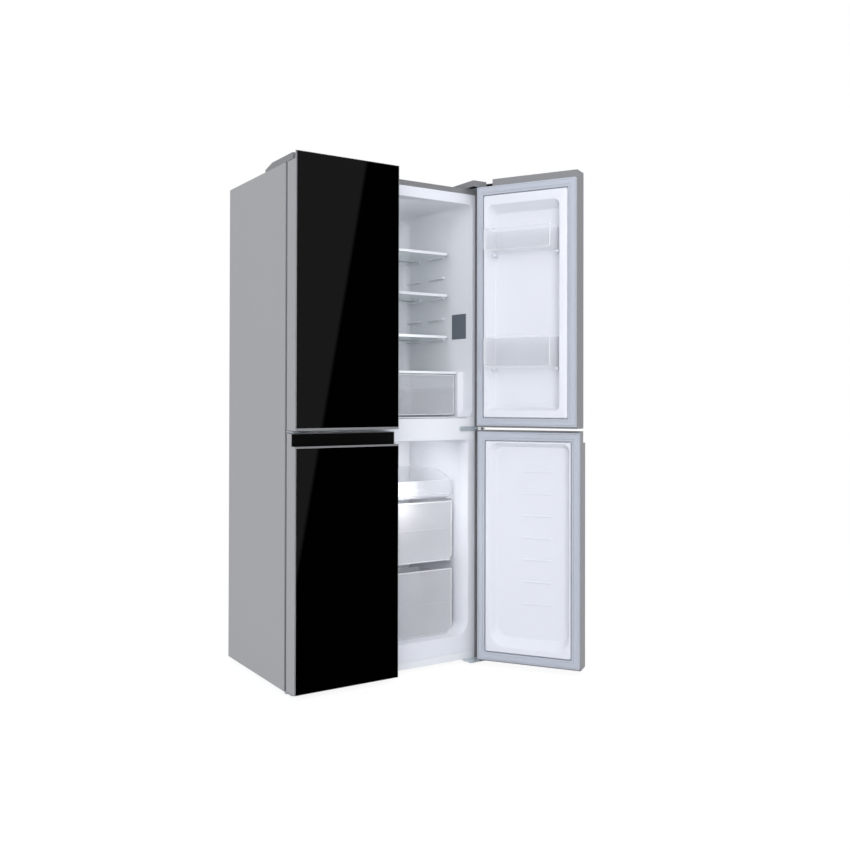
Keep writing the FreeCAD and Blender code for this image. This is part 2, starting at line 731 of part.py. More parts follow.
def crisper_cover():
    """Frame round the lowest pane, with a leg between the two crispers."""
    reach = SHELF_HALF - 1
    y0 = FRONT + COVER_SETBACK
    y1 = shelf_back()
    low = COVER_TOP - TRIM_HEIGHT
    frame = block(-reach, reach, y0, y1, low, COVER_TOP)
    half = cover_pane_half()
    near = y0 + COVER_FRAME
    far = y1 - COVER_FRAME
    pane = block(-half, half, near, far, COVER_TOP - SHELF_LAP - SHELF_GLASS, COVER_TOP)
    ledge = COVER_LEDGE
    view = block(ledge - half, half - ledge, near + ledge, far - ledge, low, COVER_TOP)
    leg = block(-LEG_HALF, LEG_HALF, y0 + 6, y1, FRIDGE_BOTTOM, low)
    return joined([frame.cut([pane, view]), leg])


def drawer(x0, x1, y0, y1, z0, side_top, front_top, radii, ridge):
    """Open drawer with a taller front wall and a moulded ridge across it."""
    low0, low1 = radii
    wall = DRAWER_WALL
    shape = (low0, low1, 0.5, 0.5)
    body = rounded(x0, x1, y0, y1, z0, side_top, shape)
    front = rounded(x0, x1, y0, y0 + DRAWER_FRONT, z0, front_top, (low0, low1, 6.0, 6.0))
    inner = (max(low0 - wall, 1.0), max(low1 - wall, 1.0), 0.5, 0.5)
    hollow = rounded(x0 + wall, x1 - wall, y0 + DRAWER_FRONT, y1 - wall, z0 + wall, front_top, inner)
    lip_y = y0 + DRAWER_LIP_SETBACK
    lip_z = side_top - DRAWER_LIP_THICK
    lips = [
        block(x0 - DRAWER_LIP, x0 + 1, lip_y, y1, lip_z, side_top),
        block(x1 - 1, x1 + DRAWER_LIP, lip_y, y1, lip_z, side_top),
    ]
    ridge_z, ridge_height, ridge_reach = ridge
    band = rounded(
        x0 + 2, x1 - 2, y0 - ridge_reach, y0 + 1, ridge_z, ridge_z + ridge_height, ridge_height * 0.3
    )
    return joined([body, front] + lips + [band]).cut(hollow)


def right_crisper():
    x1 = SHELF_HALF - CRISPER_GAP
    y0 = FRONT + COVER_SETBACK + 6
    y1 = FRIDGE_BACK - CRISPER_BACK_GAP
    z0 = FRIDGE_BOTTOM + CRISPER_LIFT
    top = COVER_TOP - TRIM_HEIGHT - CRISPER_HEAD
    height, reach = CRISPER_RIDGE
    ridge = (top - CRISPER_RIDGE_DROP, height, reach)
    return drawer(CRISPER_INNER_X, x1, y0, y1, z0, top - CRISPER_SIDE_DROP, top, (10.0, 24.0), ridge)


def freezer_drawer(z0, top, y1, ridge_z):
    y0 = FRONT + FREEZER_FRONT_SETBACK
    ridge = (ridge_z, *DRAWER_RIDGE)
    return drawer(DRAWER_X0, DRAWER_X1, y0, y1, z0, top - DRAWER_SIDE_DROP, top, DRAWER_RADII, ridge)


def right_upper_drawer():
    y1 = FREEZER_BACK - DRAWER_BACK_GAP
    ridge_z = UPPER_DRAWER_BOTTOM + UPPER_RIDGE_LIFT
    return freezer_drawer(UPPER_DRAWER_BOTTOM, UPPER_DRAWER_TOP, y1, ridge_z)


def right_lower_drawer():
    ridge_z = LOWER_DRAWER_BOTTOM + LOWER_RIDGE_LIFT
    return freezer_drawer(LOWER_DRAWER_BOTTOM, LOWER_DRAWER_TOP, HUMP_FRONT - 15, ridge_z)


def right_freezer_tray():
    """Shallow tray whose side walls slope down towards the front."""
    x0 = DRAWER_X0
    x1 = DRAWER_X1
    y0 = FRONT + FREEZER_FRONT_SETBACK - TRAY_NOSE
    y1 = FREEZER_BACK - DRAWER_BACK_GAP
    slope_start, slope_end = TRAY_SLOPE
    profile = [
        (y0 + 10, TRAY_BOTTOM),
        (y1, TRAY_BOTTOM),
        (y1, TRAY_SIDE_TOP),
        (y0 + slope_end, TRAY_SIDE_TOP),
        (y0 + slope_start, TRAY_FRONT_TOP + 5),
        (y0, TRAY_FRONT_TOP),
        (y0, TRAY_BOTTOM + 12),
    ]
    shape = (12.0, 12.0, 0.5, 0.5)
    body = side_profile(profile, x0, x1).common(rounded(x0, x1, y0, y1, TRAY_BOTTOM, TRAY_SIDE_TOP, shape))
    wall = DRAWER_WALL
    floor = TRAY_BOTTOM + wall + 2
    inner = (9.5, 9.5, 0.5, 0.5)
    hollow = rounded(x0 + wall, x1 - wall, y0 + DRAWER_FRONT, y1 - wall, floor, TRAY_SIDE_TOP + 10, inner)
    return body.cut(hollow)


# ================================================================ doors
def door_ends(upper):
    """Bottom and top of a door."""
    if upper:
        return UPPER_DOOR_BOTTOM, DOOR_TOP
    return DOOR_BOTTOM, LOWER_DOOR_TOP


def hinge_recess(front, margin):
    """Corner of an upper door that is cut away behind the glass, over the hinge."""
    return block(RECESS_X - margin, HALF, front, DOOR_BACK, RECESS_Z - margin, DOOR_TOP)


def door_interior(upper):
    """Space inside a right door's skin, behind the glass, that the foam fills."""
    low, high = door_ends(upper)
    sheet = DOOR_SHEET
    x1 = HALF - sheet
    y0 = DOOR_FRONT + GLASS
    body = block(CENTRE_GAP + sheet, x1, y0, DOOR_BACK - sheet, low + sheet, high - sheet)
    if upper:
        return body.cut(hinge_recess(DOOR_FRONT, sheet))
    return body.cut(block(CENTRE_GAP, HALF, y0, GRIP_BACK + GRIP_WALL, POCKET_LOW - GRIP_WALL, high))


def hinge_bores(z0, z1):
    return rod(HINGE_X, HINGE_Y, z0, PIN_R + PIN_FIT, z1 - z0)


def hinge_wells(upper):
    """Room in the foam round the two hinge pins."""
    low, high = door_ends(upper)
    if upper:
        high = RECESS_Z
    radius = PIN_R + PIN_WELL
    return [
        rod(HINGE_X, HINGE_Y, low, radius, WELL_DEPTH),
        rod(HINGE_X, HINGE_Y, high - WELL_DEPTH, radius, WELL_DEPTH),
    ]


def glass_front(upper):
    if upper:
        low = UPPER_DOOR_BOTTOM + BOTTOM_TRIM
        high = DOOR_TOP - DOOR_SHEET
    else:
        low = DOOR_BOTTOM + DOOR_SHEET
        high = GRIP_LOW - TOP_TRIM
    x1 = HALF - HINGE_SIDE_LIP
    return block(CENTRE_GAP + DOOR_SHEET, x1, DOOR_FRONT, DOOR_FRONT + GLASS, low, high)


def door_frame(upper):
    """Painted sheet skin: four sides, the front lips and the rear return."""
    low, high = door_ends(upper)
    frame = block(CENTRE_GAP, HALF, DOOR_FRONT, DOOR_BACK, low, high)
    cuts = [door_interior(upper), rear_window(upper), glass_front(upper)]
    cuts.append(hinge_bores(low - 1, high + 1))
    if upper:
        cuts.append(hinge_recess(DOOR_FRONT + GLASS, 0))
    else:
        cuts.append(block(CENTRE_GAP, HALF, DOOR_FRONT, GRIP_BACK, GRIP_LOW, LOWER_DOOR_TOP))
        cuts.append(grip_body(False))
    return frame.cut(cuts)


def grip_body(hollow):
    """Recess moulding of a lower door: pocket floor, pocket lip and back wall."""
    x0 = CENTRE_GAP + DOOR_SHEET
    x1 = HALF - DOOR_SHEET
    y0 = DOOR_FRONT + GLASS
    body = block(x0, x1, y0, GRIP_BACK + GRIP_WALL, POCKET_LOW - GRIP_WALL, LOWER_DOOR_TOP - DOOR_SHEET)
    cuts = [block(x0, x1, DOOR_FRONT, GRIP_BACK, GRIP_LOW, LOWER_DOOR_TOP)]
    if hollow:
        cuts.append(block(x0 + GRIP_END, x1 - GRIP_END, y0 + GRIP_WALL, GRIP_BACK, POCKET_LOW, GRIP_LOW))
    return body.cut(cuts)


# ================================================================ door linings
def gasket_span(upper):
    """Outer and inner edges of a gasket: (x0, x1, z0, z1) twice."""
    door = (CENTRE_GAP, HALF, *door_ends(upper))
    if upper:
        return inset(door, UPPER_GASKET_OUTER), inset(door, UPPER_GASKET_INNER)
    return inset(door, LOWER_GASKET_OUTER), inset(door, LOWER_GASKET_INNER)


def pan_edges(upper):
    """Mouth and floor edges of a door liner's pan."""
    inner = gasket_span(upper)[1]
    if upper:
        mouth = inset(inner, UPPER_PAN_INSET)
        return mouth, inset(mouth, UPPER_PAN_DRAFT)
    mouth = inset(inner, LOWER_PAN_INSET)
    return mouth, inset(mouth, LOWER_PAN_DRAFT)


def pan_floor_y(upper):
    return DOOR_BACK + CREST - (UPPER_PAN_DEPTH if upper else LOWER_PAN_DEPTH)


def liner_pan(upper, grow):
    """Recessed pan in the middle of a door liner, larger all round by grow."""
    mouth, floor = pan_edges(upper)
    out = (-grow,) * 4
    mouth_radii = UPPER_MOUTH_RADII if upper else LOWER_MOUTH_RADII
    floor_radii = UPPER_FLOOR_RADII if upper else LOWER_FLOOR_RADII
    near = (*inset(mouth, out), DOOR_BACK + CREST, tuple(r + grow for r in mouth_radii))
    far = (*inset(floor, out), pan_floor_y(upper) - grow, tuple(r + grow for r in floor_radii))
    return tapered(near, far)


def ring(outer, inner, y0, y1, radius):
    frame = rounded(outer[0], outer[1], y0, y1, outer[2], outer[3], radius)
    return frame.cut(rounded(inner[0], inner[1], y0, y1, inner[2], inner[3], radius))


def door_gasket(upper):
    """Magnetic seal: wide foot with a narrower bulb on it."""
    outer, inner = gasket_span(upper)
    foot = ring(outer, inner, DOOR_BACK + LINER_SEAT, DOOR_BACK + GASKET_BASE, 3.0)
    bulb_out = inset(outer, (BULB_OUTER,) * 4)
    bulb_in = inset(inner, (-BULB_INNER,) * 4)
    bulb = ring(bulb_out, bulb_in, DOOR_BACK + GASKET_BASE - 1, DOOR_BACK + GASKET_FACE, 3.0)
    return joined([foot, bulb])


def bin_rests(bin_low):
    """Two bosses of the liner that one door bin stands on."""
    x0, x1 = pan_edges(True)[1][:2]
    y0 = pan_floor_y(True)
    top = bin_low - RUN_GAP
    rests = []
    for x in (x0 + REST_GAP, x1 - REST_GAP - REST_WIDTH):
        rests.append(block(x, x + REST_WIDTH, y0 - 1, y0 + REST_REACH, top - REST_THICK, top))
    return rests


def crest_block(upper, shrink):
    """Raised middle of a door liner; shrunk, it is the foam's side of it."""
    inner = gasket_span(upper)[1]
    x0, x1, z0, z1 = inset(inner, (1 + shrink,) * 4)
    y0 = DOOR_BACK - DOOR_SHEET if shrink else DOOR_BACK
    return rounded(x0, x1, y0, DOOR_BACK + CREST - shrink, z0, z1, 4.0)


def pan_ribs():
    """Short level ribs and a blank badge on a lower door liner's pan floor."""
    floor = pan_edges(False)[1]
    y = pan_floor_y(False)
    x0, x1, z0, z1 = inset(floor, PAN_RIB_INSET)
    pitch = (z1 - z0) / (PAN_RIBS - 1)
    ribs = []
    for i in range(PAN_RIBS):
        z = z1 - pitch * i
        ribs.append(block(x0, x1, y - 1, y + PAN_RIB_RISE, z - PAN_RIB_HALF, z + PAN_RIB_HALF))
    left = floor[0] + BADGE_INSET
    high = floor[3] - BADGE_DROP
    badge = rounded(left, left + BADGE_WIDTH, y - 1, y + BADGE_RISE, high - BADGE_HEIGHT, high, 3.0)
    return ribs + [badge]


def door_liner(upper):
    outer = gasket_span(upper)[0]
    seat = block(outer[0], outer[1], DOOR_BACK, DOOR_BACK + LINER_SEAT, outer[2], outer[3])
    crest = joined([seat, crest_block(upper, 0)]).cut(crest_block(upper, LINER))
    liner = joined([crest, liner_pan(upper, LINER)]).cut(liner_pan(upper, 0))
    if upper:
        return joined([liner] + bin_rests(TOP_BIN_LOW) + bin_rests(EGG_BIN_LOW))
    return joined([liner] + pan_ribs())


def rear_window(upper):
    """Opening in the frame's rear return, where foam meets the liner."""
    x0, x1, z0, z1 = inset(gasket_span(upper)[1], (1 + LINER,) * 4)
    return block(x0, x1, DOOR_BACK - DOOR_SHEET, DOOR_BACK, z0, z1)


def door_foam(upper):
    body = joined([door_interior(upper), rear_window(upper), crest_block(upper, LINER)])
    return body.cut([liner_pan(upper, LINER)] + hinge_wells(upper))


def door_bin(low, height):
    """Clear bin that stands in the liner pan and lifts straight up."""
    pan_x0, pan_x1 = pan_edges(True)[1][:2]
    x0 = pan_x0 + BIN_GAP[0]
    x1 = pan_x1 - BIN_GAP[1]
    y0 = pan_floor_y(True) + BIN_BACK_GAP
    y1 = FRONT + BIN_REACH
    top = low + height
    wall = DRAWER_WALL
    body = rounded(x0, x1, y0, y1, low, top, (10.0, 10.0, 0.5, 0.5))
    inner = (8.0, 8.0, 0.5, 0.5)
    hollow = rounded(x0 + wall, x1 - wall, y0 + wall, y1 - wall, low + wall, top + BIN_LIP, inner)
    lip = block(x0 - 1, x1 + 1, y1 - 1, y1 + 2, top - BIN_LIP, top)
    return joined([body, lip]).cut(hollow)


# ================================================================ flip mullion
def mullion_ends():
    return FRIDGE_BOTTOM + MULLION_END_GAP, FRIDGE_TOP - MULLION_END_GAP


def flip_mullion():
    """Bar hung on the left door that closes the gap between the two doors."""
    z0, z1 = mullion_ends()
    y0 = FRONT + MULLION_GAP
    pivot_y = FRONT + MULLION_PIVOT_SETBACK
    low = z0 + LUG + 1
    high = z1 - LUG - 1
    bar = block(-MULLION_LEFT, MULLION_RIGHT, y0, y0 + MULLION_THICK, low, high)
    barrel = rod(MULLION_PIVOT_X, pivot_y, low, BARREL_R, high - low)
    pin = rod(MULLION_PIVOT_X, pivot_y, z0, MULLION_PIN_R, z1 - z0)
    return joined([bar, barrel, pin])


def mullion_lugs():
    """Ears of the left door liner that hold the mullion's two pins."""
    z0, z1 = mullion_ends()
    pivot_y = FRONT + MULLION_PIVOT_SETBACK
    crest_y = DOOR_BACK + CREST
    edge = gasket_span(True)[1][0]
    root_x = -edge - LUG_ROOT
    lugs = []
    for low in (z0, z1 - LUG):
        high = low + LUG
        arm = block(root_x, MULLION_PIVOT_X + LUG_REACH, FRONT - LUG_FRONT, pivot_y + LUG_REACH, low, high)
        root = block(root_x, root_x + 12, crest_y - 1, FRONT, low, high)
        bore = rod(MULLION_PIVOT_X, pivot_y, low - 1, MULLION_PIN_R + PIN_FIT, LUG + 2)
        lugs.append(joined([arm, root]).cut(bore))
    return lugs


# ================================================================ hinges
def screw(x, y, z, axis):
    head = rod(x, y, z, SCREW_HEAD_R, SCREW_HEAD_H, axis)
    shank = rod(x, y, z, SCREW_R, HINGE_PLATE, axis * -1)
    return joined([head, shank])


def screw_holes(positions, z):
    return [rod(x, y, z - 1, SCREW_R + SCREW_FIT, HINGE_PLATE + 2) for x, y in positions]


def top_hinge():
    """Plate screwed to the cabinet top, with a pin down into the upper door."""
    z = CABINET_TOP
    top = z + HINGE_PLATE
    x1 = HINGE_X + HINGE_ARM_OUT
    arm = block(HINGE_X - HINGE_ARM_IN, x1, HINGE_Y - HINGE_ARM_FRONT, FRONT + 1, z, top)
    pad = block(HINGE_X - HINGE_PAD_IN, x1, FRONT, FRONT + HINGE_PAD_LENGTH, z, top)
    pin_low = RECESS_Z - PIN_REACH
    pin = rod(HINGE_X, HINGE_Y, pin_low, PIN_R, z + 1 - pin_low)
    return joined([arm, pad, pin]).cut(screw_holes(TOP_SCREWS, z))


def mid_hinge():
    """Plate on the middle rail; its pins carry the upper door and guide the lower."""
    z0 = HINGE_SEAM - HINGE_PLATE / 2
    y0 = FRONT - HINGE_PLATE
    low = HINGE_SEAM - MID_FLANGE_DROP
    high = HINGE_SEAM + MID_FLANGE_RISE
    flange = rounded(HINGE_X - MID_FLANGE_IN, HINGE_X + 5, y0, FRONT, low, high, MID_FLANGE_R)
    arm = block(HINGE_X - 14, HINGE_X + 7, HINGE_Y - HINGE_ARM_FRONT, y0 + 1, z0, z0 + HINGE_PLATE)
    reach = PIN_REACH + 2
    pin = rod(HINGE_X, HINGE_Y, HINGE_SEAM - reach, PIN_R, 2 * reach)
    holes = []
    for x in MID_SCREWS:
        holes.append(rod(x, y0 - 1, HINGE_SEAM, SCREW_R + SCREW_FIT, HINGE_PLATE + 2, BACKWARD))
    return joined([flange, arm, pin]).cut(holes)


def bottom_hinge():
    """Plate under the cabinet; its pin carries the lower door, its hole the foot."""
    z = FLOOR_GAP - HINGE_PLATE
    y1 = FRONT + HINGE_PAD_LENGTH
    plate = block(HINGE_X - BOTTOM_PLATE_IN, HINGE_X + 7, HINGE_Y - 10, y1, z, FLOOR_GAP)
    pin = rod(HINGE_X, HINGE_Y, z, PIN_R, PIN_REACH + DOOR_BOTTOM - z)
    foot = rod(FOOT_X, FOOT_Y, z - 1, STUD_R + PIN_FIT, HINGE_PLATE + 2)
    return joined([plate, pin]).cut([foot] + screw_holes(BOTTOM_SCREWS, z))


def door_hinges():
    hinges = []
    for hinge in (top_hinge(), mid_hinge(), bottom_hinge()):
        hinges += both_sides(hinge)
    return hinges


def hinge_screws():
    screws = []
    for x, y in TOP_SCREWS:
        screws += both_sides(screw(x, y, CABINET_TOP + HINGE_PLATE, UP))
    for x in MID_SCREWS:
        screws += both_sides(screw(x, FRONT - HINGE_PLATE, HINGE_SEAM, BACKWARD * -1))
    for x, y in BOTTOM_SCREWS:
        screws += both_sides(screw(x, y, FLOOR_GAP - HINGE_PLATE, UP * -1))
    return screws


def hinge_covers():
    """Moulded cap over each top hinge, lower at the back."""
    x0 = RECESS_X + COVER_CLEARANCE
    x1 = HINGE_X + COVER_OUT
    y0 = HINGE_Y - COVER_FRONT
    y1 = FRONT + COVER_LENGTH
    z0 = CABINET_TOP
    z1 = DOOR_TOP - COVER_DROP
    wall = COVER_WALL
    ramp_y = y1 - COVER_RAMP
    outer = [(y0, z0), (y1, z0), (y1, z0 + COVER_BACK_HEIGHT), (ramp_y, z1), (y0, z1)]
    body = side_profile(outer, x0, x1)
    near = y0 + wall
    far = y1 - wall
    back = z0 + COVER_BACK_HEIGHT - 1
    inner = [(near, z0), (far, z0), (far, back), (ramp_y - 1, z1 - wall), (near, z1 - wall)]
    return both_sides(body.cut(side_profile(inner, x0 + wall, x1 - wall)))


# ================================================================ running gear and machine room
def front_foot():
    """Levelling foot: notched disc on a threaded stud, turned by hand about Z."""
    disc = Part.makeCone(FOOT_R - 2, FOOT_R, FOOT_BEVEL, vec(FOOT_X, FOOT_Y, 0), UP)
    rim = rod(FOOT_X, FOOT_Y, FOOT_BEVEL, FOOT_R, FOOT_THICK - FOOT_BEVEL)
    stud = rod(FOOT_X, FOOT_Y, FOOT_THICK - 1, STUD_R, FLOOR_GAP + STUD_REACH - FOOT_THICK + 1)
    notches = []
    for i in range(FOOT_NOTCHES):
        angle = 2 * math.pi * i / FOOT_NOTCHES
        x = FOOT_X + (FOOT_R + 1) * math.cos(angle)
        y = FOOT_Y + (FOOT_R + 1) * math.sin(angle)
        notches.append(rod(x, y, FOOT_BEVEL, NOTCH_R, FOOT_THICK))
    return joined([disc, rim, stud]).cut(notches)


def rear_roller():
    half = ROLLER_WIDTH / 2
    wheel = rod(ROLLER_X - half, ROLLER_Y, ROLLER_R, ROLLER_R, ROLLER_WIDTH, ACROSS)
    bore = rod(ROLLER_X - half - 1, ROLLER_Y, ROLLER_R, AXLE_R + PIN_FIT, ROLLER_WIDTH + 2, ACROSS)
    return wheel.cut(bore)


def roller_brackets():
    """Forked bracket on the base pan with a plain axle through the roller."""
    x = ROLLER_X
    y = ROLLER_Y
    inner = ROLLER_WIDTH / 2 + CHEEK_GAP
    outer = inner + CHEEK_THICK
    floor = FLOOR_GAP + PAN
    high = 2 * ROLLER_R + 8
    ledge = floor + STRAP_HEIGHT
    pieces = []
    for x0, x1 in ((x - outer, x - inner), (x + inner, x + outer)):
        pieces.append(block(x0, x1, y - CHEEK_HALF, y + CHEEK_HALF, ROLLER_R - 6, high))
    pieces.append(block(x - outer, x + outer, y - CHEEK_HALF, y + CHEEK_HALF, high - 2, high))
    pieces.append(rod(x - outer, y, ROLLER_R, AXLE_R, 2 * outer, ACROSS))
    for side in (-1, 1):
        near = y + side * (CHEEK_HALF - 1)
        end = near + side * STRAP_LENGTH
        pieces.append(block(x - outer, x + outer, min(near, end), max(near, end), ledge - 2, ledge))
        pieces.append(block(x - outer, x + outer, end - 1, end + 1, floor, ledge))
    return both_sides(joined(pieces))


def compressor():
    """Hermetic compressor can on its base plate, with suction and discharge stubs."""
    x = COMPRESSOR_X
    y = (ROOM_FRONT + BACK) / 2
    z = FLOOR_GAP + PAN + COMPRESSOR_LIFT
    shoulder = z + BOWL_HEIGHT
    crown = shoulder + CAN_HEIGHT
    can = rod(x, y, shoulder, COMPRESSOR_R, CAN_HEIGHT)
    dome = Part.makeSphere(COMPRESSOR_R, vec(x, y, crown))
    dome = dome.common(rod(x, y, crown - 1, COMPRESSOR_R, COMPRESSOR_R * 0.55))
    bowl = Part.makeCone(BOWL_R, COMPRESSOR_R, BOWL_HEIGHT, vec(x, y, z), UP)
    base = block(x - BASE_HALF_X, x + BASE_HALF_X, y - BASE_HALF_Y, y + BASE_HALF_Y, z - 2, z + 1)
    stub = COMPRESSOR_R - 22
    stubs = [
        rod(x + stub, y, crown - 36, 4.0, 44, ACROSS),
        rod(x - stub - 44, y, crown - 58, 4.0, 44, ACROSS),
    ]
    return joined([can, dome, bowl, base] + stubs)


def compressor_grommets():
    """Four rubber bushes between the compressor plate and the base pan."""
    middle = (ROOM_FRONT + BACK) / 2
    z = FLOOR_GAP + PAN
    bushes = []
    for dx in (-GROMMET_X, GROMMET_X):
        for dy in (-GROMMET_Y, GROMMET_Y):
            x = COMPRESSOR_X + dx
            y = middle + dy
            bushes.append(joined([rod(x, y, z, 9.0, COMPRESSOR_LIFT - 2), rod(x, y, z, 12.0, 3)]))
    return bushes


def compressor_cover():
    """Louvred sheet that closes the machine room at the back."""
    inside = HALF - SHEET - 1
    z0 = FLOOR_GAP + PAN + 2
    z1 = ROOM_TOP - 1
    sheet = block(-inside, inside, BACK - 2 * PAN, BACK - PAN, z0, z1)
    openings = []
    for x in (-LOUVRE_X, LOUVRE_X):
        x0 = x - LOUVRE_HALF
        openings += slots(x0, x + LOUVRE_HALF, BACK - 5, BACK, z0 + 50, LOUVRES, LOUVRE_PITCH, 6)
    return sheet.cut(openings)


# ================================================================ output
def opened(shape, angle):
    """Turn a closed right-hand door piece about its hinge pins."""
    turned = shape.copy()
    turned.rotate(vec(HINGE_X, HINGE_Y, 0), UP, angle)
    return turned


def door_nodes():
    nodes = {}
    for upper, level, angle in ((True, "upper", UPPER_OPEN), (False, "lower", LOWER_OPEN)):
        pieces = {
            "glass": glass_front(upper),
            "frame": door_frame(upper),
            "liner": door_liner(upper),
            "gasket": door_gasket(upper),
            "foam": door_foam(upper),
        }
        if not upper:
            pieces["grip"] = grip_body(True)
        for name, piece in pieces.items():
            left = mirrored(piece)
            if upper and name == "liner":
                left = joined([left] + mullion_lugs())
            nodes["left_" + level + "_" + name] = [left]
            nodes["right_" + level + "_" + name] = [opened(piece, angle)]
    bins = (("top_bin", TOP_BIN_LOW, TOP_BIN_HEIGHT), ("egg_bin", EGG_BIN_LOW, EGG_BIN_HEIGHT))
    for name, low, height in bins:
        piece = door_bin(low, height)
        nodes["left_" + name] = [mirrored(piece)]
        nodes["right_" + name] = [opened(piece, UPPER_OPEN)]
    nodes["flip_mullion"] = [flip_mullion()]
    return nodes


def cabinet_nodes():
    crisper = right_crisper()
    tray = right_freezer_tray()
    upper = right_upper_drawer()
    lower = right_lower_drawer()
    foot = front_foot()
    roller = rear_roller()
    return {
        "cabinet_shell": [cabinet_shell()],
        "back_panel": [back_panel()],
        "base_pan": [base_pan()],
        "cabinet_foam": [cabinet_foam()],
        "fridge_liner": [fridge_liner()],
        "freezer_liners": freezer_liners(),
        "mullion_rail": [mullion_rail()],
        "toe_strip": [toe_strip()],
        "fridge_air_duct": [fridge_air_duct()],
        "freezer_air_ducts": freezer_air_ducts(),
        "evaporator": evaporator(),
        "evaporator_fan": [evaporator_fan()],
        "ceiling_lamp": [ceiling_lamp()],
        "glass_shelves": glass_shelves(),
        "shelf_trims": shelf_trims(),
        "crisper_cover": [crisper_cover()],
        "left_crisper": [mirrored(crisper)],
        "right_crisper": [crisper],
        "left_freezer_drawers": [mirrored(tray), mirrored(upper), mirrored(lower)],
        "right_freezer_tray": [tray],
        "right_upper_drawer": [upper],
        "right_lower_drawer": [lower],
        "door_hinges": door_hinges(),
        "hinge_screws": hinge_screws(),
        "hinge_covers": hinge_covers(),
        "right_foot": [foot],
        "left_foot": [mirrored(foot)],
        "right_roller": [roller],
        "left_roller": [mirrored(roller)],
        "roller_brackets": roller_brackets(),
        "compressor": [compressor()],
        "compressor_grommets": compressor_grommets(),
        "compressor_cover": [compressor_cover()],
    }


def write_nodes(nodes):
    os.makedirs("parts", exist_ok=True)
    for name, solids in nodes.items():
        shape = solids[0] if len(solids) == 1 else Part.makeCompound(solids)
        shape.exportStep(os.path.join("parts", name + ".step"))


write_nodes({**cabinet_nodes(), **door_nodes()})
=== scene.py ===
import json
import math

import bmesh
import bpy
from mathutils import Matrix, Vector

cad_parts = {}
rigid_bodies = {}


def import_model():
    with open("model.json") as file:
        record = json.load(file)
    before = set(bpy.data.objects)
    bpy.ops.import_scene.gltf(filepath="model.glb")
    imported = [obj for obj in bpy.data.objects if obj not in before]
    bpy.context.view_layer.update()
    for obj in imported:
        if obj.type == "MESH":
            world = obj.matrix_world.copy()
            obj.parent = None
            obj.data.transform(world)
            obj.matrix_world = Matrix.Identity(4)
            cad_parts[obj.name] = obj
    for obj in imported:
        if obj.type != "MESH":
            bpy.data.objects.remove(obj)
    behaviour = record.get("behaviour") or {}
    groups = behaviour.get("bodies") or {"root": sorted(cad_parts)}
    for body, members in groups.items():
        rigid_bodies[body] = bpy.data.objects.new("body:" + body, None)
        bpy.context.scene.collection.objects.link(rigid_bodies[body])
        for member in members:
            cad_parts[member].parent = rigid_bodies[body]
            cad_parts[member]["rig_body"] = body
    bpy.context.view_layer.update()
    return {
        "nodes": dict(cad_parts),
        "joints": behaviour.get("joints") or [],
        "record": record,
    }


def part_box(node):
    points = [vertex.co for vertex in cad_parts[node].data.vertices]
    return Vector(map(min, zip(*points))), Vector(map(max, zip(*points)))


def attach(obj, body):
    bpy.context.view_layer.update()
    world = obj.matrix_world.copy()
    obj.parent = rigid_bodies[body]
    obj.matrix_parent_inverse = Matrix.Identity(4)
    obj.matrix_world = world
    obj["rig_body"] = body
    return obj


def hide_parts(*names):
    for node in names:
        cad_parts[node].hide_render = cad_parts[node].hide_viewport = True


# Four-door refrigerator: black glass doors in silver frames, white moulded
# liners, glass shelves and clear drawers.  Metres, +Z up, +Y to the back.

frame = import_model()

WHITE = (1.0, 1.0, 1.0)
JOINTS = {joint["name"]: joint for joint in frame["joints"]}


# ================================================================ finishes
class Value:
    """A number that changes over a surface, wrapped so that sums read as sums."""

    def __init__(self, finish, socket):
        self.finish = finish
        self.socket = socket

    def __add__(self, other):
        return self.finish.maths("ADD", self, other)

    def __radd__(self, other):
        return self.finish.maths("ADD", other, self)

    def __sub__(self, other):
        return self.finish.maths("SUBTRACT", self, other)

    def __rsub__(self, other):
        return self.finish.maths("SUBTRACT", other, self)

    def __mul__(self, other):
        return self.finish.maths("MULTIPLY", self, other)

    def __rmul__(self, other):
        return self.finish.maths("MULTIPLY", other, self)


class Nodes:
    """A node tree, with one way to add any node and short names for the common ones."""

    def __init__(self, owner):
        owner.use_nodes = True
        self.tree = owner.node_tree
        self.tree.nodes.clear()

    def add(self, kind, settings=None, sockets=None):
        """One node of any kind: its settings first, then its sockets' values or links."""
        node = self.tree.nodes.new("ShaderNode" + kind)
        for name, value in (settings or {}).items():
            setattr(node, name, value)
        for name, value in (sockets or {}).items():
            self.feed(node.inputs[name], value)
        return node

    def feed(self, socket, value):
        if isinstance(value, Value):
            value = value.socket
        if isinstance(value, bpy.types.NodeSocket):
            self.tree.links.new(value, socket)
        elif socket.type == "RGBA":
            socket.default_value = (*value, 1.0)
        else:
            socket.default_value = value

    def maths(self, operation, *values):
        node = self.add("Math", {"operation": operation}, dict(enumerate(values)))
        return Value(self, node.outputs[0])

    def along(self, direction, axis):
        """How far a direction points along an axis, from -1 to 1."""
        sockets = {0: direction, 1: axis}
        node = self.add("VectorMath", {"operation": "DOT_PRODUCT"}, sockets)
        return Value(self, node.outputs["Value"])

    def step(self, value, low, high):
        """Share from 0 to 1 as value runs from low to high."""
        sockets = {"Value": value, "From Min": low, "From Max": high}
        return Value(self, self.add("MapRange", {}, sockets).outputs[0])

    def between(self, low, high, share):
        """Colour that runs from low to high as share runs from 0 to 1."""
        return self.add("Mix", {"data_type": "RGBA"}, {0: share, 6: low, 7: high}).outputs[2]

    def choose(self, share, first, second):
        """First shader where share is 0, second where it is 1."""
        return self.add("MixShader", {}, {0: share, 1: first, 2: second}).outputs[0]


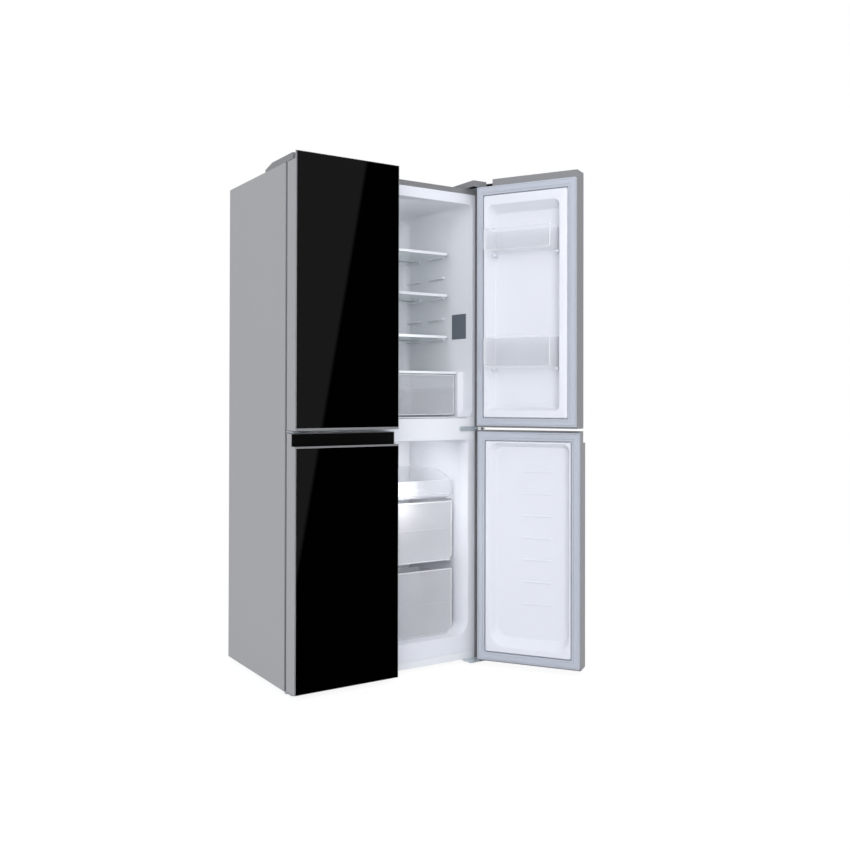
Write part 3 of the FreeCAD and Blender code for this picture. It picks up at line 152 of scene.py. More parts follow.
class Finish(Nodes):
    """One surface finish: a Principled shader and the nodes that vary it."""

    def __init__(self, name, **constants):
        self.material = bpy.data.materials.new(name)
        super().__init__(self.material)
        self.shader = self.add("BsdfPrincipled")
        for socket, value in constants.items():
            self.shader.inputs[socket.replace("_", " ")].default_value = value
        self.output = self.add("OutputMaterial", {}, {"Surface": self.shader.outputs[0]})
        self.place = self.add("TexCoord").outputs["Object"]

    def noise(self, scale, detail=2.0, stretch=None):
        place = self.place
        if stretch:
            place = self.add("Mapping", {}, {"Vector": place, "Scale": stretch}).outputs[0]
        sockets = {"Vector": place, "Scale": scale, "Detail": detail}
        return Value(self, self.add("TexNoise", {}, sockets).outputs["Fac"])

    def cells(self, scale):
        node = self.add("TexVoronoi", {}, {"Vector": self.place, "Scale": scale})
        return Value(self, node.outputs["Distance"])

    def bump(self, height, distance, strength=1.0):
        sockets = {"Height": height, "Distance": distance, "Strength": strength}
        return self.add("Bump", {}, sockets).outputs[0]

    def set(self, socket, value):
        self.feed(self.shader.inputs[socket], value)


def moulded(name, low, high, roughness, grain=1400.0, depth=0.00002, **constants):
    """Injection-moulded or vacuum-formed plastic: faint clouding and a fine skin."""
    finish = Finish(name, **constants)
    cloud = finish.noise(5.0, 3.0)
    finish.set("Base Color", finish.between(low, high, cloud))
    finish.set("Roughness", finish.noise(30.0, 3.0) * 0.05 + (roughness - 0.025))
    skin = finish.noise(grain, 2.0) + finish.noise(45.0, 2.0)
    finish.set("Normal", finish.bump(skin, depth))
    return finish.material


def silver_paint(name, low, high):
    """Powder-coated steel with a fine metallic flake and a little orange peel."""
    finish = Finish(name, Metallic=0.55)
    flake = finish.cells(2600.0)
    cloud = finish.noise(1.6, 3.0)
    finish.set("Base Color", finish.between(low, high, flake * 0.5 + cloud * 0.5))
    finish.set("Roughness", flake * 0.10 + cloud * 0.06 + 0.36)
    peel = finish.noise(420.0, 2.0) + flake * 0.2
    finish.set("Normal", finish.bump(peel, 0.00002))
    return finish.material


def black_glass():
    """Toughened glass painted black behind: mirror-smooth with the faintest waviness."""
    finish = Finish("black_glass", IOR=1.5)
    cloud = finish.noise(3.0, 2.0)
    finish.set("Base Color", finish.between((0.0, 0.0, 0.0), (0.0004, 0.0004, 0.0005), cloud))
    finish.set("Roughness", cloud * 0.01 + 0.004)
    finish.set("Normal", finish.bump(finish.noise(2.0, 1.0), 0.0002, 0.05))
    return finish.material


def zinc(name, colour, darker):
    """Zinc-plated pressed steel with a bluish cast and faint rolling marks."""
    finish = Finish(name, Metallic=0.45)
    spangle = finish.cells(160.0)
    marks = finish.noise(90.0, 4.0, (1.0, 1.0, 14.0))
    finish.set("Base Color", finish.between(darker, colour, spangle * 0.6 + marks * 0.6))
    finish.set("Roughness", marks * 0.2 + 0.24)
    finish.set("Normal", finish.bump(marks + spangle * 0.3, 0.00002))
    return finish.material


def see_through(name, tint, body, least, most, roughness):
    """Clear moulding or glass: open where seen square on, milky where seen edge-on."""
    finish = Finish(name, Specular_IOR_Level=0.5)
    cloud = finish.noise(14.0, 3.0)
    finish.set("Base Color", finish.between(body, tuple(min(1.0, part * 1.05) for part in body), cloud))
    finish.set("Roughness", cloud * 0.05 + roughness)
    finish.set("Normal", finish.bump(finish.noise(60.0, 2.0), 0.00005, 0.4))
    clear = finish.add("BsdfTransparent", {}, {"Color": tint})
    facing = Value(finish, finish.add("LayerWeight", {}, {"Blend": 0.3}).outputs["Facing"])
    amount = facing * (most - least) + cloud * 0.02 + (least - 0.01)
    surface = finish.choose(amount, clear.outputs[0], finish.shader.outputs[0])
    finish.feed(finish.output.inputs["Surface"], surface)
    return finish.material


FINISHES = {
    "painted_steel": silver_paint("silver_paint", (0.40, 0.40, 0.408), (0.445, 0.445, 0.453)),
    "zinc_steel": zinc("zinc_plate", (0.74, 0.80, 0.84), (0.50, 0.56, 0.61)),
    "foam": moulded("rigid_foam", (0.70, 0.62, 0.42), (0.84, 0.77, 0.56), 0.9, 300.0, 0.0004),
    "white_liner": moulded(
        "white_liner", (0.80, 0.812, 0.85), (0.825, 0.837, 0.875), 0.36, Coat_Weight=0.1,
    ),
    "white_trim": moulded("white_trim", (0.85, 0.86, 0.88), (0.87, 0.88, 0.90), 0.3, Coat_Weight=0.15),
    "lamp_cover": moulded("lamp_lens", (0.88, 0.89, 0.90), (0.95, 0.95, 0.96), 0.4),
    "clear_glass": see_through(
        "shelf_glass", (0.975, 0.99, 0.985), (0.80, 0.87, 0.86), 0.05, 0.55, 0.02,
    ),
    "black_glass": black_glass(),
    "clear_plastic": see_through(
        "clear_plastic", (0.99, 0.992, 0.996), (0.99, 0.992, 1.0), 0.025, 0.34, 0.06,
    ),
    "crisper_plastic": see_through(
        "crisper_plastic", (0.985, 0.988, 0.995), (0.93, 0.94, 0.97), 0.20, 0.55, 0.1,
    ),
    "drawer_plastic": see_through(
        "drawer_plastic", (0.985, 0.988, 0.995), (0.95, 0.955, 0.98), 0.27, 0.66, 0.12,
    ),
    # Frosted white for the drawer and bin rims: a painted highlight standing for the bright glint along
    # clear plastic edges.
    "painted_edge_highlight": see_through("painted_edge_highlight", (0.97, 0.975, 0.98), (0.97, 0.98, 1.0), 0.55, 0.9, 0.2),
    "seal_rubber": moulded(
        "seal_rubber", (0.50, 0.525, 0.58), (0.53, 0.555, 0.61), 0.6, 900.0, 0.00002,
    ),
    "black_plastic": moulded(
        "black_plastic", (0.003, 0.003, 0.0028), (0.006, 0.006, 0.0055), 0.5, 1100.0, 0.00004,
        Specular_IOR_Level=0.03,
    ),
    "grey_plastic": moulded(
        "grey_plastic", (0.20, 0.20, 0.205), (0.26, 0.26, 0.265), 0.42, 1100.0, 0.00006,
    ),
    "coil_aluminium": zinc("coil_aluminium", (0.80, 0.81, 0.82), (0.62, 0.63, 0.64)),
    "compressor_black": moulded(
        "black_enamel", (0.012, 0.012, 0.013), (0.026, 0.026, 0.028), 0.3, 200.0, 0.0001,
    ),
    "plate_grey": moulded("grey_label", (0.10, 0.12, 0.15), (0.14, 0.16, 0.19), 0.5, 700.0, 0.00005),
}


# ================================================================ mesh helpers
# Degrees between two faces above which their edge is rounded, or shaded as a crease.
ROUNDED_ABOVE = 32.0
CREASED_ABOVE = 50.0


def arc_points(count):
    """Angles through a quarter turn, ends included."""
    return [math.pi / 2 * step / count for step in range(count + 1)]


def loop(x0, x1, z0, z1, radii, steps=8):
    """Rounded rectangle as (x, z) points; radii run low x0, low x1, top x1, top x0."""
    corners = [(x0, z0, 1, 1), (x1, z0, -1, 1), (x1, z1, -1, -1), (x0, z1, 1, -1)]
    points = []
    for index, ((x, z, sx, sz), r) in enumerate(zip(corners, radii)):
        start = math.pi + index * math.pi / 2
        for turn in arc_points(steps):
            angle = start + turn
            points.append((x + sx * r + r * math.cos(angle), z + sz * r + r * math.sin(angle)))
    return points


def at_depth(points, y):
    return [Vector((x, y, z)) for x, z in points]


def ramp(outer, inner, profile):
    """Rings between two loops of as many points; profile holds (share, y)."""
    rings = []
    for share, y in profile:
        pairs = zip(outer, inner)
        rings.append([
            Vector((a[0] + (b[0] - a[0]) * share, y, a[1] + (b[1] - a[1]) * share)) for a, b in pairs
        ])
    return rings


class Shape:
    """A mesh being put together out of lofts and rounded blocks."""

    def __init__(self):
        self.mesh = bmesh.new()

    def loft(self, rings, cap_first=False, cap_last=False, closed=False):
        made = [[self.mesh.verts.new(point) for point in ring] for ring in rings]
        pairs = list(zip(made, made[1:]))
        if closed:
            pairs.append((made[-1], made[0]))
        for near, far in pairs:
            count = len(near)
            for index in range(count):
                after = (index + 1) % count
                self.mesh.faces.new((near[index], near[after], far[after], far[index]))
        if cap_first:
            self.mesh.faces.new(list(reversed(made[0])))
        if cap_last:
            self.mesh.faces.new(made[-1])
        return self

    def block(self, low, high, radius=0.001, segments=2):
        low, high = Vector(low), Vector(high)
        grown = bmesh.ops.create_cube(self.mesh, size=1.0)["verts"]
        size = high - low
        middle = (low + high) / 2
        for vertex in grown:
            vertex.co = Vector(vertex.co[i] * size[i] + middle[i] for i in range(3))
        edges = list({edge for vertex in grown for edge in vertex.link_edges})
        if radius:
            bmesh.ops.bevel(
                self.mesh, geom=edges, offset=radius, segments=segments, profile=0.5, affect="EDGES"
            )
        return self


def applied(piece):
    """Replace the piece's mesh by what its modifiers make of it."""
    graph = bpy.context.evaluated_depsgraph_get()
    mesh = bpy.data.meshes.new_from_object(piece.evaluated_get(graph))
    piece.modifiers.clear()
    piece.data = mesh


def finished(piece, width, segments, thickness):
    """Round the piece's edges, give it its wall, and shade its flats flat and its rounds smooth."""
    if width:
        edge = piece.modifiers.new("edge", "BEVEL")
        edge.width = width
        edge.segments = segments
        edge.limit_method = "ANGLE"
        edge.angle_limit = math.radians(ROUNDED_ABOVE)
        edge.use_clamp_overlap = True
    if thickness:
        wall = piece.modifiers.new("wall", "SOLIDIFY")
        wall.thickness = thickness
        wall.offset = -1.0
    if piece.modifiers:
        applied(piece)
    piece.data.shade_smooth()
    piece.data.set_sharp_from_angle(angle=math.radians(CREASED_ABOVE))
    flats = piece.modifiers.new("flats", "WEIGHTED_NORMAL")
    flats.keep_sharp = True
    flats.weight = 100
    applied(piece)


def piece_from(
    name, shape, slot, body, replaced=(), finish=None, place=None,
    thickness=0.0, flip=False, width=0.0, segments=2,
):
    """Turn a Shape into a piece of the object: in place, finished and riding its body.

    An open shape with a thickness gets its wall behind its inner face; flip says
    that this face looks to the front, as a compartment's does.
    """
    mesh = bpy.data.meshes.new(name)
    bmesh.ops.recalc_face_normals(shape.mesh, faces=shape.mesh.faces)
    if thickness:
        largest = max(shape.mesh.faces, key=lambda face: face.calc_area() * abs(face.normal.y))
        if (largest.normal.y < 0) != flip:
            bmesh.ops.reverse_faces(shape.mesh, faces=shape.mesh.faces)
    if place:
        shape.mesh.transform(place)
        if place.determinant() < 0:
            bmesh.ops.reverse_faces(shape.mesh, faces=shape.mesh.faces)
    shape.mesh.to_mesh(mesh)
    shape.mesh.free()
    piece = bpy.data.objects.new(name, mesh)
    bpy.context.scene.collection.objects.link(piece)
    finished(piece, width, segments, thickness)
    piece.data.materials.clear()
    piece.data.materials.append(FINISHES[finish or slot])
    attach(piece, body)
    if replaced:
        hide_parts(*replaced)


# Distance within which corners are joined, and degrees within which faces count as one flat.
WELD = 0.00002
FLAT_WITHIN = 0.6


def softened(node, width, finish=None):
    """Copy of a CAD node with its sharp edges rounded, which stands for the node."""
    source = frame["nodes"][node]
    shape = Shape()
    shape.mesh.from_mesh(source.data)
    bmesh.ops.remove_doubles(shape.mesh, verts=shape.mesh.verts, dist=WELD)
    bmesh.ops.dissolve_limit(
        shape.mesh, angle_limit=math.radians(FLAT_WITHIN), verts=shape.mesh.verts, edges=shape.mesh.edges
    )
    body = source["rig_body"]
    piece_from(node + "_skin", shape, SLOTS[node], body, [node], finish=finish, width=width)


SLOTS = {part["node"]: part["material_slot"] for part in frame["record"]["subparts"]}

for name, node in frame["nodes"].items():
    node.data.materials.clear()
    node.data.materials.append(FINISHES[SLOTS[name]])


# ================================================================ softened pieces
SOFT_EDGES = {
    "cabinet_shell": 0.0008,
    "mullion_rail": 0.0008,
    "hinge_covers": 0.0018,
    "flip_mullion": 0.002,
    "door_hinges": 0.0005,
    "hinge_screws": 0.0004,
    "shelf_trims": 0.0015,
    "glass_shelves": 0.0008,
    "crisper_cover": 0.0012,
    "ceiling_lamp": 0.002,
    "fridge_air_duct": 0.0012,
    "freezer_air_ducts": 0.0008,
    "left_crisper": 0.0010,
    "right_crisper": 0.0010,
    "right_freezer_tray": 0.0010,
    "right_upper_drawer": 0.0010,
    "right_lower_drawer": 0.0010,
    "left_freezer_drawers": 0.0010,
    "back_panel": 0.0006,
    "compressor_cover": 0.0004,
    "compressor": 0.0015,
    "base_pan": 0.0005,
    "toe_strip": 0.0005,
    "roller_brackets": 0.0005,
    "left_foot": 0.0008,
    "right_foot": 0.0008,
    "left_roller": 0.0010,
    "right_roller": 0.0010,
}
for side in ("left", "right"):
    for level in ("upper", "lower"):
        SOFT_EDGES[f"{side}_{level}_frame"] = 0.0007
    SOFT_EDGES[side + "_lower_grip"] = 0.0008
    SOFT_EDGES[side + "_top_bin"] = 0.0010
    SOFT_EDGES[side + "_egg_bin"] = 0.0010
CLEAR_PARTS = {
    "left_crisper": "crisper_plastic",
    "right_crisper": "crisper_plastic",
    "right_freezer_tray": "crisper_plastic",
    "right_upper_drawer": "drawer_plastic",
    "right_lower_drawer": "drawer_plastic",
    "left_freezer_drawers": "drawer_plastic",
}
for name, width in SOFT_EDGES.items():
    softened(name, width, finish=CLEAR_PARTS.get(name))


# ================================================================ door linings
# Drawn on a shut right-hand door, then swung open or mirrored to the left.
# Four amounts run: centre side, hinge side, bottom, top.
LINING = {
    "upper": {
        "gasket": (0.0291, 0.0250, 0.0290, 0.0330),
        "slope": (0.0120, 0.0030, 0.0030, 0.0030),
        "mouth": (0.0320, 0.0150, 0.0280, 0.0380),
        "draft": (0.0060, 0.0190, 0.0110, 0.0280),
        "mouth_radii": (0.022, 0.022, 0.022, 0.022),
        "floor_radii": (0.016, 0.016, 0.016, 0.016),
        "depth": 0.0370,
    },
    "lower": {
        "gasket": (0.0291, 0.0290, 0.0310, 0.0325),
        "slope": (0.0030, 0.0030, 0.0030, 0.0030),
        "mouth": (0.0080, 0.0200, 0.0230, 0.0090),
        "draft": (0.0070, 0.0180, 0.0340, 0.0140),
        "mouth_radii": (0.055, 0.062, 0.026, 0.026),
        "floor_radii": (0.045, 0.050, 0.020, 0.020),
        "depth": 0.0270,
    },
}
CREST_HEIGHT = 0.0115
GASKET_PROFILE = (
    (0.00, 0.0), (0.03, 0.0098), (0.05, 0.0104), (0.17, 0.0104), (0.185, 0.0092), (0.20, 0.0104),
    (0.24, 0.0112), (0.68, 0.0112), (0.72, 0.0104), (0.735, 0.0092), (0.75, 0.0104), (0.95, 0.0104),
    (0.97, 0.0098), (1.00, 0.0),
)


def inset(edges, amounts):
    return (edges[0] + amounts[0], edges[1] - amounts[1], edges[2] + amounts[2], edges[3] - amounts[3])


def shut_edges(node):
    """A lining node's outline and depths on a shut right-hand door, from its left twin."""
    low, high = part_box("left_" + node)
    return (-high[0], -low[0], low[2], high[2]), low[1], high[1]


def swung(side, level):
    """Placement that takes a piece drawn on a shut right-hand door to its own door."""
    if side == "left":
        return Matrix.Scale(-1, 4, (1, 0, 0))
    joint = JOINTS[f"right_{level}_door_swing"]
    low, high = joint["range_deg"]
    pivot = Matrix.Translation(Vector(joint["pos_m"]))
    turn = Matrix.Rotation(math.radians(-min(low, -high)), 4, "Z")
    return pivot @ turn @ pivot.inverted()


def door_gasket(side, level):
    """Magnetic seal with mitred corners: two lips, two grooves and the raised bulb."""
    outer, seat, _ = shut_edges(level + "_gasket")
    inner = inset(outer, LINING[level]["gasket"])
    profile = [(share, seat + height) for share, height in GASKET_PROFILE]
    rings = ramp(loop(*outer, (0.003,) * 4), loop(*inner, (0.003,) * 4), profile)
    shape = Shape().loft(rings, closed=True)
    node = f"{side}_{level}_gasket"
    piece_from(
        node + "_profile", shape, "seal_rubber", f"{side}_{level}_door", [node], place=swung(side, level)
    )


def pan_floor(level):
    """Edges and depth of the flat middle of a door liner."""
    outer, seat, _ = shut_edges(level + "_gasket")
    sizes = LINING[level]
    mouth = inset(inset(outer, sizes["gasket"]), sizes["mouth"])
    return inset(mouth, sizes["draft"]), seat + CREST_HEIGHT - sizes["depth"]


def door_liner(side, level):
    """Vacuum-formed lining: seat under the gasket, raised crest, mouth and pan."""
    outer, seat, _ = shut_edges(level + "_gasket")
    sizes = LINING[level]
    inner = inset(outer, sizes["gasket"])
    crest = seat + CREST_HEIGHT
    mouth = inset(inner, sizes["mouth"])
    floor, floor_y = pan_floor(level)
    base = inset(inner, (0.001,) * 4)
    rings = [
        at_depth(loop(*outer, (0.003,) * 4), seat),
        at_depth(loop(*base, (0.004,) * 4), seat),
        at_depth(loop(*inset(base, (0.001,) * 4), (0.005,) * 4), seat + 0.005),
        at_depth(loop(*inset(base, sizes["slope"]), (0.008,) * 4), crest),
        at_depth(loop(*mouth, sizes["mouth_radii"]), crest),
        at_depth(loop(*floor, sizes["floor_radii"]), floor_y),
    ]
    shape = Shape().loft(rings, cap_last=True)
    node = f"{side}_{level}_liner"
    body = f"{side}_{level}_door"
    place = swung(side, level)
    piece_from(
        node + "_form", shape, "white_liner", body, [node, f"{side}_{level}_foam"],
        place=place, width=0.0035, segments=4, thickness=0.002,
    )
    if level == "upper":
        details = upper_liner_details(side, floor, floor_y)
    else:
        details = lower_liner_details(floor, floor_y)
    piece_from(node + "_details", details, "white_liner", body, place=place)


def door_glass(side, level):
    """Front pane with eased edges."""
    edges, front, back = shut_edges(level + "_glass")
    shape = Shape().block((edges[0], front, edges[2]), (edges[1], back, edges[3]), 0.0006)
    node = f"{side}_{level}_glass"
    body = f"{side}_{level}_door"
    piece_from(node + "_pane", shape, "black_glass", body, [node], place=swung(side, level))


def upper_liner_details(side, floor, floor_y):
    """Bosses under the bins, and on the left door the ears that hold the mullion."""
    shape = Shape()
    for node in ("top_bin", "egg_bin"):
        edges, _, _ = shut_edges(node)
        top = edges[2] - 0.0005
        for x in (floor[0] + 0.001, floor[1] - 0.014):
            shape.block((x, floor_y - 0.001, top - 0.010), (x + 0.013, floor_y + 0.026, top), 0.002, 3)
    if side == "left":
        low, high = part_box("flip_mullion")
        pivot = -low[0] - 0.005
        front = low[1] - 0.0011
        root = shut_edges("upper_gasket")[0][0] + LINING["upper"]["gasket"][0] + 0.016
        for z in (low[2], high[2] - 0.008):
            shape.block((pivot - 0.006, front, z), (root, front + 0.0153, z + 0.008), 0.0012)
            shape.block((root - 0.012, front - 0.002, z), (root, front + 0.004, z + 0.008), 0.0008)
    return shape


def lower_liner_details(floor, floor_y):
    """Seven short level ribs and a blank raised badge on the pan floor."""
    shape = Shape()
    x0, x1, z0, z1 = inset(floor, (0.063, 0.097, 0.1262, 0.090))
    for index in range(7):
        z = z1 - (z1 - z0) * index / 6
        shape.block((x0, floor_y - 0.001, z - 0.003), (x1, floor_y + 0.0025, z + 0.003), 0.0014, 3)
    left = floor[0] + 0.081
    top = floor[3] - 0.048
    shape.block((left, floor_y - 0.001, top - 0.018), (left + 0.076, floor_y + 0.0012, top), 0.0009)
    return shape


for side in ("left", "right"):
    for level in ("upper", "lower"):
        door_gasket(side, level)
        door_liner(side, level)
        door_glass(side, level)


# ================================================================ cabinet linings
WALL_TAPER = 0.0921
MOUTH_HALF = 0.3650
LINING_GAUGE = 0.0015
# Widest step kept between the low and high parts where both walls run in line.
HAIR = 0.0001
LOW_EASE = 0.031
SHARP_EASE = 0.0012
TOP_EASE = 0.028
FLANGE_EASE = 0.001
MOUTH_ROUND = 0.003
BACK_ROUND = 0.024
SILL_LIFT = 0.0004


def eased_outline(corners, steps=6):
    """Closed (x, z) outline; each corner is (x, z, length eased off each side of it)."""
    points = []
    for index, (x, z, ease) in enumerate(corners):
        here = Vector((x, z))
        before = Vector(corners[index - 1][:2]) - here
        after = Vector(corners[(index + 1) % len(corners)][:2]) - here
        start = here + before.normalized() * ease
        end = here + after.normalized() * ease
        for step in range(steps + 1):
            share = step / steps
            middle = here * 2 * share * (1 - share)
            points.append(tuple(start * (1 - share) ** 2 + middle + end * share ** 2))
    return points


def fridge_section(low_half, half, bottom, top, ledge, low_ease, top_ease):
    """Outline across the fresh-food space; it is narrower below the ledge."""
    step_ease = min(0.006, (half - low_half) * 0.45)
    corners = [
        (-low_half, bottom, low_ease), (low_half, bottom, low_ease),
        (low_half, ledge, step_ease), (half, ledge, step_ease),
        (half, top, top_ease), (-half, top, top_ease),
        (-half, ledge, step_ease), (-low_half, ledge, step_ease),
    ]
    return eased_outline(corners)


def fridge_lining():
    """Moulded tub of the fresh-food compartment, from its front flange to the back wall."""
    low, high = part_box("fridge_liner")
    front, bottom = low[1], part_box("left_crisper")[0][2] - 0.009
    back = high[1] - 0.002
    top = high[2] - 0.038
    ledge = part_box("crisper_cover")[1][2] - 0.001
    flange = high[0]
    outline = fridge_section(flange - HAIR, flange, bottom, high[2], ledge, FLANGE_EASE, FLANGE_EASE)
    rings = [at_depth(outline, front)]
    for turn in arc_points(4):
        eased = MOUTH_ROUND * (1 - math.sin(turn))
        half = MOUTH_HALF + eased
        sill = bottom + MOUTH_ROUND + SILL_LIFT - eased
        outline = fridge_section(half - HAIR, half, sill, top + eased, ledge, LOW_EASE, TOP_EASE)
        rings.append(at_depth(outline, front + MOUTH_ROUND * (1 - math.cos(turn))))
    # Each station: depth, half widths below and above the ledge, ease of the low corners.
    stations = [
        (front + 0.050, 0.3604, 0.3604, LOW_EASE), (front + 0.059, 0.3412, 0.3596, SHARP_EASE),
        (front + 0.1195, 0.3410, 0.3540, SHARP_EASE), (front + 0.147, 0.3410, 0.3412, SHARP_EASE),
        (back - BACK_ROUND, 0.3410, 0.3412, SHARP_EASE),
    ]
    for y, low_half, half, low_ease in stations:
        outline = fridge_section(
            low_half - HAIR, half, bottom + SILL_LIFT, top, ledge, low_ease, TOP_EASE
        )
        rings.append(at_depth(outline, y))
    for turn in arc_points(5)[1:]:
        drawn = BACK_ROUND * (1 - math.cos(turn))
        outline = fridge_section(
            0.3409 - drawn, 0.3412 - drawn, bottom + drawn, top - drawn, ledge, SHARP_EASE, TOP_EASE
        )
        rings.append(at_depth(outline, back - BACK_ROUND + BACK_ROUND * math.sin(turn)))
    shape = Shape().loft(rings, cap_last=True)
    piece_from(
        "fridge_lining", shape, "white_liner", "cabinet", ["fridge_liner"],
        thickness=LINING_GAUGE, flip=True,
    )


SHELF_DROP = 0.009
RIB_PITCH = 0.080
RIB_HEIGHT = 0.009
RIB_ROUND = 0.0042


def shelf_ribs():
    """Rounded ledges that carry the shelves, with spare pairs between them."""
    shape = Shape()
    low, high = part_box("shelf_trims")
    top_shelf, front, rear = high[2], low[1] + 0.024, high[1] + 0.027
    for level in range(5):
        top = top_shelf - SHELF_DROP - RIB_PITCH * level
        for near, far in ((front, front + 0.105), (rear - 0.100, rear)):
            for side in (-1, 1):
                inner, outer = side * 0.332, side * 0.3428
                corner_a = (min(inner, outer), near, top - RIB_HEIGHT)
                corner_b = (max(inner, outer), far, top)
                shape.block(corner_a, corner_b, RIB_ROUND, 4)
    piece_from("shelf_ribs", shape, "white_liner", "cabinet")


FREEZER_BACK = 0.1645
FREEZER_BACK_ROUND = (0.011, 0.018)
HUMP_FRONT = 0.0395
HUMP_TOP = 0.296


def freezer_lining(side):
    """Moulded tub of one freezer: flange, flared mouth, straight walls and drawer ledges."""
    low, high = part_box("freezer_liners")
    front, back = low[1], FREEZER_BACK
    across, inward = FREEZER_BACK_ROUND
    mouth = (0.0330, 0.3485, 0.1040, high[2] - 0.002)
    flange = (mouth[0] - 0.002, high[0], low[2], high[2])
    deep = (0.0360, 0.3250, 0.1060, mouth[3] - 0.0046)
    radii = (0.012, 0.045, 0.014, 0.012)
    rings = [
        at_depth(loop(*flange, (0.0005,) * 4), front),
        at_depth(loop(*mouth, (0.012, 0.055, 0.020, 0.012)), front),
        at_depth(loop(*deep, radii), front + 0.040),
        at_depth(loop(*deep, radii), back - inward),
    ]
    for turn in arc_points(4)[1:]:
        drawn = across * (1 - math.cos(turn))
        outline = loop(*inset(deep, (drawn,) * 4), tuple(radius - drawn for radius in radii))
        rings.append(at_depth(outline, back - inward + inward * math.sin(turn)))
    place = Matrix.Scale(-1 if side == "left" else 1, 4, (1, 0, 0))
    shape = Shape().loft(rings, cap_last=True)
    piece_from(
        side + "_freezer_lining", shape, "white_liner", "cabinet", ["freezer_liners"],
        place=place, width=0.004, segments=4, thickness=LINING_GAUGE, flip=True,
    )
    details = Shape()
    hump_low = (deep[0] - 0.001, HUMP_FRONT, deep[2] - 0.001)
    details.block(hump_low, (deep[1] + 0.001, back + 0.001, HUMP_TOP), 0.010, 4)
    for drawer in ("right_upper_drawer", "right_freezer_tray"):
        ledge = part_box(drawer)[0][2] - 0.0005
        for x0, x1 in ((deep[0] - 0.0005, deep[0] + 0.019), (deep[1] - 0.019, deep[1] + 0.0005)):
            details.block((x0, front + 0.080, ledge - 0.008), (x1, 0.1045, ledge), 0.003, 3)
    piece_from(side + "_freezer_ledges", details, "white_liner", "cabinet", place=place)


fridge_lining()
shelf_ribs()
for side in ("left", "right"):
    freezer_lining(side)


# ================================================================ small parts
PLATE_MIDDLE = -0.1805
PLATE_HALF = 0.0415
PLATE_LOW = 1.216
PLATE_HIGH = 1.311


def rating_plate():
    """Blank grey plate on the right wall of the fresh-food compartment, flat on its taper."""
    middle, half = PLATE_MIDDLE, PLATE_HALF
    wall = MOUTH_HALF - WALL_TAPER * (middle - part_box("fridge_liner")[0][1])
    near = (wall - 0.0012, middle - half, PLATE_LOW)
    far = (wall + 0.0006, middle + half, PLATE_HIGH)
    shape = Shape().block(near, far, 0.0005)
    for corner in shape.mesh.verts:
        corner.co.x -= WALL_TAPER * (corner.co.y - middle)
    piece_from("rating_plate", shape, "grey_plastic", "cabinet", finish="plate_grey")


RIM_WIDTH = 0.0035
RIM_DEPTH = 0.0045
RIM_SWELL = 0.0008
CRISPER_CORNER = 0.010
DRAWER_CORNER = 0.026


def drawer_rims():
    """Thicker moulded border round the front of each clear drawer, with its finger lip; its frosted
    white is a painted highlight for the bright clear edge.
    """
    drawers = [
        ("right_crisper", "right_crisper", 1, CRISPER_CORNER),
        ("left_crisper", "cabinet", -1, CRISPER_CORNER),
    ]
    for node in ("right_upper_drawer", "right_lower_drawer"):
        drawers.append((node, node, 1, DRAWER_CORNER))
        drawers.append((node, "cabinet", -1, DRAWER_CORNER))
    for node, body, side, ease in drawers:
        low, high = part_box(node)
        low, high = Vector(low), Vector(high)
        if node == "left_crisper":
            low.x, high.x = -high.x, -low.x
        edges = (low.x + 0.005, high.x - 0.005, low.z, high.z)
        radii = (ease * 0.4, ease, 0.003, 0.003)
        inner = inset(edges, (RIM_WIDTH, RIM_WIDTH, RIM_WIDTH, RIM_WIDTH + 0.001))
        y = low.y + 0.004 if "crisper" in node else low.y
        behind = y + RIM_DEPTH
        profile = [(0.0, behind), (0.0, y), (0.5, y - RIM_SWELL), (1.0, y), (1.0, behind)]
        small = tuple(max(0.001, radius - RIM_WIDTH) for radius in radii)
        rings = ramp(loop(*edges, radii), loop(*inner, small), profile)
        shape = Shape().loft(rings, closed=True)
        name = f"{'right' if side > 0 else 'left'}_{node.split('_', 1)[1]}_rim"
        place = Matrix.Scale(side, 4, (1, 0, 0))
        piece_from(name, shape, "clear_plastic", body, finish="painted_edge_highlight", place=place)


def bin_rims():
    """Moulded border round the front of each door bin, frosted white as a painted highlight for the
    bright clear edge.
    """
    for side in ("left", "right"):
        for node in ("top_bin", "egg_bin"):
            edges, _, y = shut_edges(node)
            inner = inset(edges, (0.003, 0.003, 0.003, 0.004))
            profile = [(0.0, y - 0.005), (0.0, y), (0.5, y + 0.0006), (1.0, y), (1.0, y - 0.005)]
            rings = ramp(loop(*edges, (0.008,) * 4), loop(*inner, (0.005,) * 4), profile)
            shape = Shape().loft(rings, closed=True)
            piece_from(
                f"{side}_{node}_rim", shape, "clear_plastic", f"{side}_{node}",
                finish="painted_edge_highlight", place=swung(side, "upper"),
            )


rating_plate()
drawer_rims()
bin_rims()


# ================================================================ studio
FLOOR_REACH = 40
FLOOR_SIDES = 64
FLOOR_GLOW = 1.12
FLOOR_GLOW_SHARE = 0.80


